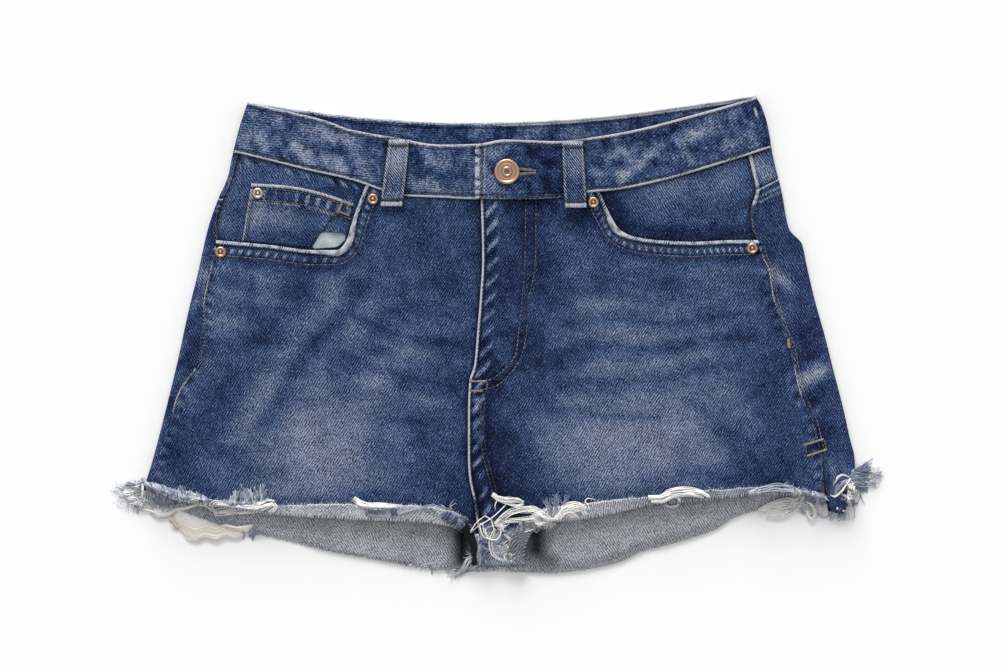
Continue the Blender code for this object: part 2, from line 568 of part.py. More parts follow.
def fringe(name, edge, way, span, base, clear, tufts, colour, seed):
    """Frayed threads whose roots share a narrow strip just off a raw edge.

    edge and way are the points of the raw edge and the directions the threads take off it,
    span the two fractions of its length that the strip covers, base the height of the strip
    and clear the lowest height of a thread over a place."""
    chance = np.random.default_rng(seed)
    steps = np.hypot(*np.diff(edge, axis=0).T)
    place = (np.concatenate([[0], np.cumsum(steps)]) / steps.sum() - span[0]) / (span[1] - span[0])
    length_of_strip = steps.sum() * (span[1] - span[0])
    roots, strands = [], []
    for start, end, count, lengths, leans, thick in tufts:
        step = (end - start) / count
        for i in range(count):
            part = (i + 0.5) / count
            long = (lengths[0] + (lengths[1] - lengths[0]) * part) * chance.uniform(0.6, 1.1)
            lean = leans[0] + (leans[1] - leans[0]) * part
            lean += chance.uniform(-1, 1) * min(0.2 * step * length_of_strip / long, 0.2)
            middle = start + step * (i + 0.5)
            half = min(0.3 * step, 0.5 * ROOT / length_of_strip)
            roots.append((middle - half, middle + half))
            strands.append((long, lean, min(thick, 0.7 * step * length_of_strip)))
    corners = [p for p in place if 0 < p < 1 and not any(a - 0.004 < p < b + 0.004 for a, b in roots)]
    stations = np.array(sorted([0.0, 1.0, *corners, *(p for root in roots for p in root)]))
    at = np.column_stack([np.interp(stations, place, axis) for axis in edge.T])
    out = np.column_stack([np.interp(stations, place, axis) for axis in way.T])
    out /= np.hypot(*out.T)[:, None]
    near, far = at + out * SEAM, at + out * (SEAM + STRIP_W)
    low = base(*near.T)
    rows = [np.column_stack([near, low]), np.column_stack([near, low + STRIP_T]),
            np.column_stack([far, low + STRIP_T]), np.column_stack([far, low])]
    count = len(stations)
    verts = np.concatenate(rows).tolist()
    bearing = {int(np.searchsorted(stations, root[0])): strand for root, strand in zip(roots, strands)}
    faces = [(3 * count, 2 * count, count, 0), tuple(k * count + count - 1 for k in range(4))]
    for i in range(count - 1):
        for k in range(4):
            a, b = k * count + i, (k + 1) % 4 * count + i
            if k != 2 or i not in bearing:
                faces.append((a, b, b + 1, a + 1))
    for i, (long, lean, thick) in bearing.items():
        root = [3 * count + i, 3 * count + i + 1, 2 * count + i + 1, 2 * count + i]
        corner = np.array([verts[r] for r in root])
        side = np.array([-out[i, 1], out[i, 0]])
        bent = out[i] * math.cos(lean * 0.5) + side * math.sin(lean * 0.5)
        straight = out[i] * math.cos(lean) + side * math.sin(lean)
        middle = corner.mean(axis=0)[:2] + bent * long * 0.5
        tip = middle + straight * long * 0.5
        across = np.array([-bent[1], bent[0]]) * thick / 2
        if np.dot(corner[1, :2] - corner[0, :2], across) < 0:
            across = -across
        first = len(verts)
        for sign, rise in ((-1, 0), (1, 0), (1, 1), (-1, 1)):
            verts.append([*(middle + across * sign), clear(*middle) + rise * thick])
        verts.append([*tip, clear(*tip) + 0.3])
        for k in range(4):
            n = (k + 1) % 4
            faces.append((root[k], root[n], first + n, first + k))
            faces.append((first + k, first + n, first + 4))
    finish(name, verts, faces, colour)


def outward(points, centre):
    """Unit directions square to a line of points, away from a centre."""
    along = np.gradient(points, axis=0)
    away = np.column_stack([-along[:, 1], along[:, 0]]) / np.hypot(*along.T)[:, None]
    return away * np.where(((points - centre) * away).sum(axis=1) < 0, -1, 1)[:, None]


def fringes(fronts, backs):
    """The frayed threads of each stretch of raw hem."""

    def over_front(x, y):
        return float(top_front(np.array(x), np.array(y))) + 0.7

    def over_back(x, y):
        return DENIM + 0.6

    def over_floor(x, y):
        return 0.35

    def on_front(x, y):
        return top_front(x, y) + SEAM + 0.3

    def mid_way(x, y):
        return 3.0 + 0 * x

    def at_edge(x, y):
        return 0.4 + 0 * x

    def above_back(x, y):
        return DENIM + 0.5 + 0 * x

    # tufts: start, end, threads, lengths, leans along the hem, thickness
    (raw_left, in_left, fold_left), (raw_right, in_right, fold_right) = fronts
    turned_out = HEM_R + DENIM
    fringe("fringe_left_hem", fold_left - in_left * turned_out, -in_left, (0.02, 0.15), mid_way,
           over_back, [(0.0, 1.0, 9, (8, 9), (-0.5, -0.3), 0.9)], BLUE, 23)
    fringe("fringe_right_hem", fold_right - in_right * turned_out, -in_right, (0.02, 0.13), mid_way,
           over_back, [(0.0, 1.0, 8, (6, 8), (0.2, -0.2), 0.9)], WHITE, 29)
    fringe("fringe_front_left", raw_left, in_left, (0.16, 0.84), on_front, over_front, [
        (0.0, 0.3, 12, (6, 9), (-0.2, 0.2), 0.9), (0.31, 0.36, 2, (13, 15), (-1.0, -0.8), 1.2),
        (0.56, 0.68, 5, (6, 8), (0.8, 0.2), 1.2), (0.8, 1.0, 7, (4, 6), (0.2, 0.5), 0.9)], WHITE, 3)
    fringe("fringe_front_right", raw_right, in_right, (0.22, 0.78), on_front, over_front, [
        (0.0, 0.2, 6, (4, 6), (0.2, -0.2), 0.9), (0.25, 0.5, 9, (8, 10), (0.8, -0.8), 1.2),
        (0.72, 1.0, 10, (8, 11), (0.7, -0.5), 1.2)], WHITE, 5)
    hem_left, hem_right = backs
    away_left, away_right = outward(hem_left, (-150, -60)), outward(hem_right, (150, -60))
    crest = int(hem_left[:, 0].argmin())
    under = hem_left[crest:][hem_left[crest:, 0] < -222]
    fold_y = np.array([-92.0, -97.0, -102.0])
    corner_left = np.concatenate([np.column_stack([fold_x(-1, fold_y) - SEAM, fold_y]), under])
    way_left = np.array([(-1.0, 0.15), (-1.0, -0.1), (-1.0, -0.4)] + [(-0.57, -0.82)] * len(under))
    crest = int(hem_right[:, 0].argmax())
    fold_y = np.array([-92.0, -88.0])
    beside = np.column_stack([fold_x(1, fold_y) + SEAM, fold_y])
    corner_right = np.concatenate([hem_right[:crest + 1], beside])
    way_right = np.concatenate([away_right[:crest], [(1.0, -0.25), (1.0, -0.1), (1.0, 0.1)]])
    fringe("fringe_left_corner", corner_left, way_left, (0, 1), at_edge, over_floor, [
        (0.0, 0.4, 10, (13, 30), (0.0, 0.1), 1.0), (0.42, 0.7, 7, (26, 15), (0.0, 0.1), 0.9),
        (0.72, 1.0, 6, (9, 7), (0.0, 0.3), 0.9)], BLUE, 7)
    fringe("fringe_back_left", hem_left, away_left, (0.24, 0.98), at_edge, over_floor, [
        (0.0, 0.07, 4, (16, 22), (-1.0, -0.9), 1.0), (0.12, 0.55, 10, (2.5, 3), (0, 0), 0.9),
        (0.57, 1.0, 11, (2, 2.4), (0, 0), 0.9)], WHITE, 11)
    fringe("fringe_back_right", hem_right, away_right, (0.35, 0.98), at_edge, over_floor, [
        (0.02, 1.0, 20, (2.2, 1.6), (0, 0), 0.9)], WHITE, 13)
    fringe("fringe_right_corner", corner_right, way_right, (0.02, 0.98), at_edge, over_floor, [
        (0.0, 0.3, 6, (7, 9), (0.1, 0.1), 0.9), (0.36, 1.0, 14, (14, 24), (0.3, 0.1), 0.9)],
        BLUE, 17)
    line = np.array([(x, -161.0) for x in (-14.0, 0.0, 17.0)])
    fringe("fringe_crotch", line, np.array([(0.0, -1.0)] * 3), (0, 1), above_back, over_back, [
        (0.05, 0.95, 14, (4, 5), (-0.6, 0.6), 1.0)], WHITE, 19)


def new_object(name, mesh, colour, roughness=0.9, metallic=0.0):
    """An object of the garment's collection with a material of its own."""
    obj = bpy.data.objects.new(name, mesh)
    bpy.data.collections["denim_shorts"].objects.link(obj)
    material = bpy.data.materials.new(name)
    material.use_nodes = True
    shader = material.node_tree.nodes["Principled BSDF"]
    shader.inputs["Base Color"].default_value = (*colour, 1)
    shader.inputs["Roughness"].default_value = roughness
    shader.inputs["Metallic"].default_value = metallic
    mesh.materials.append(material)
    return obj


def main():
    for obj in list(bpy.data.objects):
        bpy.data.objects.remove(obj)
    for name in ("denim_shorts", "cutters"):
        bpy.context.scene.collection.children.link(bpy.data.collections.new(name))
    fronts, backs = [], []
    for side, word in ((-1, "left"), (1, "right")):
        fronts.append(front_panel("front_" + word, side))
        backs.append(back_and_yoke(side))
        facing("facing_" + word, side)
    buttonhole(waistband())
    laid_on_facing("coin_pocket", COIN_TOP, COIN_BOTTOM, 10, 3, BLUE, SEAM + FACING)
    laid_on_facing("pocket_bag", BAG_TOP, BAG_BOTTOM, 3, 1, WHITE, SEAM + FACING)
    for name, x_top, x_bottom in BELT_LOOPS:
        belt_loop(name, x_top, x_bottom)
    rivets()
    button()
    fringes(fronts, backs)


main()
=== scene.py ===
"""Cut-off denim shorts laid flat with their front up: washed twill panels, topstitching, raw hems
frayed into threads, a copper shank button and copper rivets.

x runs across the garment, y up towards the waist and z up off the floor.  Every shape is worked
out in millimetres and becomes a mesh in metres.  left and right are the viewer's.
"""

import math

import bpy
import numpy as np
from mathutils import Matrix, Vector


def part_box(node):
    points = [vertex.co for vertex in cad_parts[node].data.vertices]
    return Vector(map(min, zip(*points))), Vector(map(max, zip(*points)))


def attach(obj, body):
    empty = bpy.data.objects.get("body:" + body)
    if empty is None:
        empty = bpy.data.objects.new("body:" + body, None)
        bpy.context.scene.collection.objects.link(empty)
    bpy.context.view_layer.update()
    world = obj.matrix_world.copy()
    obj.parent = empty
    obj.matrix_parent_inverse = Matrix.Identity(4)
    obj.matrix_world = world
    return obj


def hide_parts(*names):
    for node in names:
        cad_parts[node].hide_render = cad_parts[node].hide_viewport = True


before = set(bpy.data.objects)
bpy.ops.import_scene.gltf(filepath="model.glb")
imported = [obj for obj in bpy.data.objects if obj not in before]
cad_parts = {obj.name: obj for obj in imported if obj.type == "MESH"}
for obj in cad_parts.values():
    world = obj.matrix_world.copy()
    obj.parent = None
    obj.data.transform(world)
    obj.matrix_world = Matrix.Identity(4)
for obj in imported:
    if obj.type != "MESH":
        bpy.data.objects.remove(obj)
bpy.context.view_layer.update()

MM = 0.001

# -------- sizes, mm
DENIM = 1.4  # leg panel wall
BAND = 2.6  # waistband: the strip folded double
FACING = 1.0  # pocket facings, coin pocket and pocket bag
LOOP = 1.8  # belt loop: folded denim
LOOP_WIDTH = 15.0
LOOP_TAIL = 9.0  # how far a belt loop runs on below the waistband
SEAM = 0.3  # gap at the seams and between the layers
FOLD_R = 2.7  # outer radius of the side folds of the legs
BAND_FOLD_R = 3.3  # outer radius of the side folds of the waistband
OVERLAP = 10.0  # how far the left front runs under the right
BAND_LEFT_END = 24.0  # x of the waistband's end under the flap
BAND_FLAP_END = -15.0  # x of the flap's end
HEM_R = 0.5  # inner radius of the turned-up hem
CROTCH_Y = -128  # y below which the layers sink together between the legs
SLIT_Y = -88  # y below which the right side seam is torn open
FACING_TUCK = 8.0  # how far a facing runs on under the front
BUTTON_AT = (7.3, 115.5)
CENTRE_BACK = -2.0  # x of the seam of the back panels
STITCH = 2.9  # length from one stitch hole to the next
THREAD = 0.62  # topstitching thread
BAND_ROWS = (2.9, 2.6)  # distance of the stitches from the waistband's top and bottom
END_ROW = 4.6  # and from the flap's end
CENTRE_ROW = 2.6  # distance of the second row of stitches from the centre seam
HOLE_EYE = 3.0  # radius of the buttonhole's eye
HOLE_SLOT = 0.9  # width of its slot
HOLE_END = 26.0  # x of the slot's end
BOX_AT, BOX_TURN = (223.2, -77.3), math.radians(17.5)  # the stitched box at the slit's head
FAR = 1e3  # a distance at which an edge has no effect

# -------- outlines, mm
FOLD_LEFT = [  # y, x of the fold's crest
    (-112, -249.5), (-91, -242.5), (-66, -235.7), (-40.5, -229.3), (-15.5, -223.3), (18, -216),
    (43.5, -209.7), (77, -202), (98, -194.6), (107, -190.4), (115, -187.6),
    (122.5, -186.2), (130, -184.5), (147, -180.2), (164.5, -174.5)]
FOLD_RIGHT = [  # y, x
    (-130, 251.5), (-103, 251), (-93, 251.5), (-83, 250.8), (-72, 248), (-49, 242.9),
    (-24, 236.4), (1.5, 230), (26.5, 223), (52.5, 217), (65, 214.3), (76, 205), (102, 199.9),
    (127.5, 193.7), (147, 190.3), (160, 186.5), (168.5, 182)]
BAND_HIGH = [  # x, y of the waistband's top on the front
    (-175, 164.5), (-145, 157.5), (-122, 152), (-102, 145), (-74, 140), (-39, 134.5),
    (-14, 135), (6, 138), (41, 137), (72, 140.5), (97, 145), (138, 155.5), (158, 161),
    (182, 168)]
BAND_LOW = [  # x, y of its lower edge there
    (-186, 130), (-157, 123), (-133, 117), (-102, 110), (-63, 98.5), (-39, 97.5),
    (-15, 96.5), (18, 96.5), (45, 97.5), (63, 101), (84, 103), (118, 110), (151, 119.5),
    (178, 128), (193, 133)]
BACK_HIGH = [  # x, y of both edges on the back
    (-175, 164.5), (-145, 160), (-86, 153.3), (-28, 150.3), (6, 150.6), (41, 152), (84, 155.6),
    (125, 161), (182, 169)]
BACK_LOW = [  # x, y
    (-186, 130), (-145, 121), (-86, 113.5), (-28, 110), (6, 110.5), (41, 112), (84, 117),
    (125, 123), (193, 133)]
YOKE_SEAM = [  # x, y
    (-196, 98), (-150, 88), (-100, 77), (-50, 66), (-2, 57), (50, 66), (100, 77), (150, 91),
    (202, 112)]
YOKE_AT_SIDE = 105.0  # height at which the yoke seams meet the side folds, about
YOKE_FALL = {-1: 0.0, 1: 0.44}  # slope at which they fall from there on the front
YOKE_FALL_END = 17.0  # distance from the fold at which they run level again
SIDE_SEAM_LEFT = [  # y, distance in from the fold on the front
    (-110, 3.7), (-89, 3.7), (-69, 3.7), (-60, 5), (-46, 5), (-35, 7), (-25, 12), (-17, 15.5),
    (-5, 15.5), (29, 8.5), (47, 8), (66, 8), (85, 3.7), (130, 3.7)]
SIDE_SEAM_RIGHT = [  # y, distance in from the fold on the front
    (-125, 18.5), (-87, 22.5), (-63, 22.5), (-38, 27), (-6, 25.5), (5, 27.5), (27, 28),
    (47, 26.5), (56, 29), (66, 29.6), (74, 25.5), (91, 23), (105, 17.5), (134, 17.2)]
SIDE_WEAR = {  # y, wear of the front's side edge
    -1: [(97, 0.2), (84, 0.42), (75, 0.3), (60, 0.1), (50, 0.45), (30, 0.55), (20, 0.3), (8, 0.12),
         (-15, 0.1), (-23, 0.4), (-35, 0.6), (-50, 0.45), (-57, 0.1), (-110, 0.08)],
    1: [(125, 0.3), (88, 0.2), (66, 0.15), (60, 0.35), (50, 0.6), (30, 0.6), (18, 0.3), (0, 0.15),
        (-18, 0.25), (-24, 0.66), (-38, 0.66), (-44, 0.1), (-120, 0.1)]}
FLY_EDGE = [  # y, x of the right front's lapped edge
    (-162, -13), (-147, -10.5), (-128, -14), (-114, -16), (-100, -19), (-86, -20),
    (-52, -20), (-31, -19), (-19, -15.5), (4, -13.5), (28, -11.5), (55, -10), (97, -11)]
POCKET_LEFT = [  # x, y along the mouth from the side seam to the waistband
    (-196.5, 67.8), (-158.5, 64.4), (-128, 60.8), (-112, 60.8), (-105.3, 67), (-101.5, 79),
    (-97.5, 91), (-91.5, 106)]
POCKET_RIGHT = [  # x, y along the mouth from the side seam to the waistband
    (184, 67.8), (165, 67.8), (138, 66.6), (112, 67.8), (96, 70.4), (86.5, 75), (81.5, 82),
    (72.5, 101)]
HEM_LEFT = [  # x, y, width of the turn-up
    (-246, -103, 1.5), (-225, -112, 2), (-197, -117, 3), (-155, -122.5, 5), (-102, -126, 9),
    (-53, -128, 10), (-32, -131, 9), (-21.5, -137, 6)]
HEM_RIGHT = [  # x, y, width of the turn-up
    (231, -114, 1.5), (216, -109.5, 2), (188, -109, 4), (151, -112.5, 5), (105, -117, 5.5),
    (67, -125, 9), (37, -128.5, 9), (23, -136, 9)]
STRIP_LEFT = [(-21.5, -137, 6), (-16.5, -147, 3), (-15.5, -160, 1.5)]  # x, y, turn-up
STRIP_RIGHT = [(23, -136, 9), (19, -147, 11), (18, -160, 11)]
BACK_HEM_LEFT = [  # distance round from the fold's crest (below 0 on the front), y
    (-16, -101), (-3.7, -104), (0, -106), (8, -110), (15, -115), (30, -121), (57, -131),
    (79, -137), (107, -142), (135, -150), (163, -155), (191, -160), (219, -163), (252, -164)]
BACK_HEM_RIGHT = [  # distance round from the fold's crest, y
    (-18.5, -122), (-9, -124), (-3, -109), (1.5, -95), (8, -106), (20, -116), (40, -119),
    (71, -122), (87, -126.5), (100, -134.5), (116, -140.5), (137, -146.5), (149, -149),
    (167, -157.5), (188, -162.5), (219, -165.5), (252, -164)]
COIN_TOP = [(-171.5, 107.5), (-148, 106), (-125, 101.7), (-100, 93.4)]  # x, y
COIN_BOTTOM = [  # x, y
    (-178, 67.2), (-150, 65), (-131, 63.4), (-122.5, 73.5), (-114.5, 84), (-102, 85)]
BAG_TOP = [(-129, 63.6), (-121.2, 73), (-105.5, 72.8)]  # x, y
BAG_BOTTOM = [(-127.8, 61.9), (-112.5, 63), (-106, 67.8)]  # x, y
BELT_LOOPS = [  # name, x at the top, x at the bottom
    ("belt_loop_left", -68, -73.5), ("belt_loop_right", 53, 55.5)]
LOOP_PROFILE = [  # fraction down the loop, height of its underside over the layer below
    (0.0, 0.4), (0.08, 0.9), (0.35, 1.2), (0.62, 1.0), (0.8, 1.0), (0.9, 0.6), (1.0, 0.4)]
BAND_TURN = [  # y, x where it turns to the right side
    (128, 195), (137, 189.6), (152, 184.6), (165, 180.4)]
FLY_STITCH_OUTER = [  # x, y
    (27.6, 96), (27.6, 68.6), (26.7, 47.6), (24.1, 33.6), (21.7, 22.4), (21.1, 4.2),
    (17.8, -12.6), (9.4, -25.9), (-1.8, -35), (-18, -37.8)]
FLY_STITCH_INNER = [  # x, y
    (20.6, 96), (19.9, 53.9), (15.5, 4.2), (13.6, -11.2), (3.1, -24.8), (-7.3, -30.8),
    (-18, -31.5)]
CENTRE_STITCH = [  # x, y
    (-9.4, -39), (-11.2, -52.5), (-11.5, -67.2), (-9.4, -82.6), (-6, -96), (-3, -108),
    (-1, -118)]

FLY_TACKS = [  # place, angle, length, width, tint
    ((-12.8, -30.9), 0, 12, 0.6, 0.95), ((-14, -37.8), -2, 9, 0.5, 0.7),
    ((-6.6, -34), 86, 6, 0.5, 0.5)]
SIDE_TACKS = [  # place, angle, length, width, tint
    ((222, -73.6), 17, 14, 0.55, 0.86), ((224.4, -81), 18, 14.5, 0.6, 0.86),
    ((216.4, -77.4), 100, 6.5, 0.5, 0.35), ((230.2, -75.4), 102, 6, 0.5, 0.35),
    ((204.6, -4.5), 97, 6, 2.1, 0.9)]
COIN_TACKS = [  # place, angle, length
    ((-109.5, 90.5), 70, 8), ((-103.5, 92.5), 70, 6), ((-107, 86.5), -22, 8),
    ((-105.5, 94.5), -22, 6)]

# -------- washing, fades and folds
# Each mark is a soft stroke from one point to another: x, y, x, y, half width, amount.
FADES_LEFT = [  # lighter above 0, darker below
    (-150, -55, -110, -105, 30, 0.2), (-125, -70, -90, -80, 22, 0.06), (-86, 40, -126, -6, 6, -0.1),
    (-126, -6, -166, -63, 7, -0.13), (-128, 49, -164, 1, 12, -0.12),
    (-164, 1, -194, -39, 12, -0.13), (-110, 34, -150, -30, 9, 0.06),
    (-150, -20, -178, -62, 11, 0.06), (-90, 22, -122, -20, 8, 0.05),
    (-205, -60, -225, -90, 16, -0.12), (-50, -85, -30, -120, 26, -0.17),
    (-30, 70, -36, -40, 12, -0.05), (-102, 13, -25, -10, 2.6, -0.09),
    (-112, -12, -30, -38, 2.8, -0.09), (-96, 3, -26, -22, 3, 0.07), (-110, -24, -30, -52, 3, 0.06),
    (-88, -56, -28, -64, 2.6, -0.06), (-100, 44, -30, 24, 3, 0.05), (-200, 30, -150, 26, 4, 0.08),
    (-205, 12, -165, 8, 4, 0.06), (-200, 48, -150, 40, 5, 0.06), (-90, 90, -30, 92, 9, -0.07),
    # the dark stroke at (-200.5, -113) is painted shade in a gap among the frayed threads
    (-200, -25, -216, -45, 7, 0.05), (-200.5, -113, -199, -118, 2.4, -0.3),
    (-50, 70, -50, 40, 22, -0.08), (-140, -112, -60, -116, 6, -0.05),
    (-165, -5, -120, 22, 20, 0.05), (-180, 10, -172, -12, 20, 0.05), (-55, -85, -40, -108, 22, 0.1),
    (-150, -26, -157, -60, 12, -0.1), (-72, -18, -98, -56, 12, 0.13), (-48, 6, -36, 0, 6, 0.06),
    (-44, -50, -40, -80, 9, 0.07), (-184, 36, -176, 28, 7, -0.06), (-232, -62, -239, -92, 5, 0.09),
    (-168, -104, -140, -110, 8, 0.08), (-112, -105, -84, -112, 7, -0.09)]
FADES_RIGHT = [
    (20, 92, 24, 40, 20, -0.17), (24, -8, 30, -14, 19, -0.19), (-5, 60, 10, 0, 11, -0.1),
    (4, -75, 8, -110, 22, -0.2), (-10, -50, -8, -110, 9, -0.1), (44, -116, 30, -118, 12, -0.12),
    (60, -80, 135, -78, 30, 0.19), (95, -62, 120, -50, 16, 0.09), (48, -68, 76, -62, 12, 0.03),
    (70, 10, 110, 2, 20, 0.09), (75, -32, 120, -22, 12, 0.08), (50, 40, 165, 38, 8, -0.03),
    (46, 34, 118, 22, 2.4, -0.06), (48, 8, 176, 14, 2.6, -0.09), (40, -12, 180, -2, 2.8, -0.1),
    (42, -36, 168, -22, 2.8, -0.08), (36, -54, 110, -56, 3, -0.08), (56, 20, 150, 24, 3.2, 0.06),
    (58, 0, 160, 4, 3, 0.06), (52, -24, 150, -13, 3, 0.07), (46, -46, 140, -38, 3.4, 0.05),
    (186, -20, 206, -100, 18, -0.1), (150, 30, 186, 44, 8, 0.05), (130, 46, 180, 50, 6, 0.05),
    (35, 92, 60, 84, 10, -0.17), (150, -60, 176, -90, 12, -0.1), (-10, -8, -2, -38, 9, -0.2),
    (14, 12, 20, -4, 7, 0.08), (-12, -44, -11, -68, 4, 0.22), (152, -44, 158, -58, 8, 0.07),
    (62, 100, 76, 90, 8, -0.12), (168, 58, 184, 54, 6, -0.13), (158, -20, 178, -52, 13, 0.08),
    (190, 34, 195, 4, 6, -0.09), (-4, -102, 14, -116, 8, -0.07), (132, -98, 196, -98, 7, -0.1)]
FADES_SIDE = [  # back panels and yokes where they show beside the side seams
    (195, 44, 206, 37, 5.5, 0.3), (205, 66, 214, 20, 9, 0.02), (212, 0, 222, -10, 8, -0.08),
    (210, -32, 224, -24, 6.5, 0.42), (203, -13, 219, -13, 2.5, -0.12),
    (214, -44, 224, -46, 4.5, -0.1), (220, -58, 229, -50, 1.8, 0.2), (224, -60, 232, -78, 9, -0.06),
    (240, -90, 246, -96, 6, 0.08), (184, 121, 192, 113, 7, 0.22), (196, 24, 200, 12, 3, 0.12),
    (206, 88, 208, 78, 3, 0.12), (231, -88, 236, -106, 2.6, 0.16), (189, 92, 192, 54, 6, -0.09),
    (236, -18, 244, -60, 5, 0.07), (-205, 60, -208, 42, 5, 0.16), (-212, 22, -214, 12, 3, 0.14),
    (-218, -6, -221, -14, 3, 0.12), (-222, -30, -228, -40, 5, 0.1), (-207, 84, -206, 74, 3, 0.1),
    (-206.5, 42, -209, 22, 4, 0.17), (-232, -62, -240, -92, 5, 0.16),
    (-190, 124, -187, 106, 5, 0.1)]
FADES_BAND = [
    (-172, 140, -160, 134, 7, 0.22), (-142, 132, -132, 128, 6, 0.34),
    (-118, 124, -110, 121, 7, 0.28), (-94, 122, -90, 112, 7, 0.16), (-130, 146, -100, 139, 5, 0.24),
    (-175, 157, -150, 152, 5, 0.08), (-158, 149, -144, 146, 5, 0.13),
    (-115, 134, -105, 130, 4, -0.12), (-42, 124, -34, 122, 5, 0.13), (-59, 131, -52, 117, 4, -0.12),
    (-54, 106, -30, 104, 5, 0.18), (-44, 114, -30, 112, 4, -0.1), (-10, 125, 0, 132, 6, 0.16),
    (-8, 104, 8, 102, 6, 0.1), (26, 128, 42, 112, 15, -0.19), (26, 103, 45, 103, 7, -0.12),
    (-11, 120, -6, 108, 4, 0.14), (-152, 128, -147, 132, 3, -0.16),
    (-124, 131, -121, 120, 2.5, -0.16), (-102, 124, -100, 116, 2.5, -0.14),
    (66, 116, 76, 118, 5, 0.06), (66, 100, 74, 104, 5, -0.08), (86, 113, 98, 120, 5, 0.26),
    (78, 128, 92, 131, 5, 0.18), (104, 126, 118, 131, 5, 0.19), (132, 136, 144, 142, 5, 0.3),
    (126, 124, 134, 128, 4, 0.18), (120, 143, 160, 152, 4, -0.1), (80, 121, 84, 124, 3, -0.18),
    (100, 112, 108, 118, 4, -0.18), (122, 133, 128, 128, 3.5, -0.16),
    (140, 132, 156, 137, 4, -0.12), (150, 148, 165, 154, 5, 0.2), (160, 134, 172, 140, 4, 0.18),
    (172, 158, 180, 160, 4, -0.08), (96, 138, 112, 141, 4, -0.12), (66, 132, 74, 136, 5, -0.1),
    (104, 144, 120, 150, 4, 0.14), (176, 147, 182, 138, 5, 0.12)]
FOLDS_LEFT = [  # raised above 0, sunk below: x, y, x, y, half width, height
    (-86, 40, -126, -6, 5, -0.5), (-126, -6, -166, -63, 6, -0.55), (-128, 49, -164, 1, 9, -0.6),
    (-164, 1, -194, -39, 9, -0.5), (-108, 36, -152, -34, 7, 0.35), (-98, 16, -138, -42, 8, 0.3),
    (-102, 13, -25, -10, 2.6, -0.22), (-112, -12, -30, -38, 2.6, -0.22),
    (-88, -56, -28, -64, 2.6, -0.15), (-96, 3, -26, -22, 3, 0.15), (-200, -50, -228, -96, 9, 0.4),
    (-50, -85, -30, -118, 14, -0.3)]
FOLDS_RIGHT = [
    (46, 34, 118, 22, 2.6, -0.16), (48, 8, 176, 14, 2.6, -0.22), (40, -12, 180, -2, 2.8, -0.22),
    (42, -36, 168, -22, 2.8, -0.2), (36, -54, 110, -56, 3, -0.2), (24, -8, 30, -14, 12, -0.3),
    (14, -60, 26, -118, 8, -0.5), (0, 40, -6, 0, 5, 0.25), (150, 66, 186, 40, 10, 0.2),
    (188, -30, 206, -100, 10, -0.35), (0, 70, 4, 56, 3, 0.3), (2, 30, 10, 20, 3, 0.25)]


# -------- curves and numbers
def through(rows, at):
    """The smooth curve through a table's rows, whose first column is the place along it.
    Its slope is level at each high and low row, so that it never swings past one."""
    table = np.array(sorted(rows), dtype=float)
    place, value = table[:, 0], table[:, 1:]
    step = np.diff(value, axis=0) / np.diff(place)[:, None]
    before, after = step[:-1], step[1:]
    same = before * after > 0
    middle = np.where(same, 2 * before * after / np.where(same, before + after, 1), 0)
    slope = np.concatenate([step[:1], middle, step[-1:]])
    at = np.clip(np.asarray(at, dtype=float), place[0], place[-1])
    i = np.clip(np.searchsorted(place, at) - 1, 0, len(place) - 2)
    width = place[i + 1] - place[i]
    t = ((at - place[i]) / width)[..., None]
    width = width[..., None]
    out = (value[i] * (1 + 2 * t) * (1 - t) ** 2 + value[i + 1] * t * t * (3 - 2 * t)
           + slope[i] * width * t * (1 - t) ** 2 - slope[i + 1] * width * t * t * (1 - t))
    return out[..., 0] if out.shape[-1] == 1 else out


def path(rows, fractions):
    """Points at the given fractions of the length of the smooth curve through the rows."""
    points = np.array(rows, dtype=float)
    steps = np.sqrt((np.diff(points[:, :min(3, points.shape[1])], axis=0) ** 2).sum(axis=1))
    length = np.concatenate([[0], np.cumsum(steps)])
    return through(np.column_stack([length / length[-1], points]).tolist(), np.asarray(fractions))


def ease(t):
    """0 below 0, 1 above 1, and a smooth rise between."""
    t = np.clip(t, 0, 1)
    return t * t * (3 - 2 * t)


def bell(distance, width):
    """1 at no distance, falling off smoothly over the width."""
    return np.exp(-(distance / width) ** 2)


def spaced(cells, first=0.0, last=0.0):
    """Fractions from 0 to 1, closer together by the given shares near the first and last."""
    t = np.linspace(0, 1, cells + 1)
    if first and last:
        return t - first * np.sin(2 * math.pi * t) / (2 * math.pi)
    return t - (first - last) * np.sin(math.pi * t) / math.pi


def strokes(table, x, y):
    """The sum of soft strokes: each is its amount times a bell of the distance to a segment."""
    total = np.zeros_like(x)
    bent_x, bent_y = x + 2.2 * np.sin(y / 13 + x / 41), y + 2.2 * np.sin(x / 15 - y / 37)
    for x0, y0, x1, y1, width, amount in table:
        run = np.array([x1 - x0, y1 - y0], dtype=float)
        part = ((bent_x - x0) * run[0] + (bent_y - y0) * run[1]) / (run @ run)
        held = np.clip(part, 0, 1)
        gap = np.hypot(bent_x - x0 - held * run[0], bent_y - y0 - held * run[1])
        total += amount * bell(gap, width)
    return total


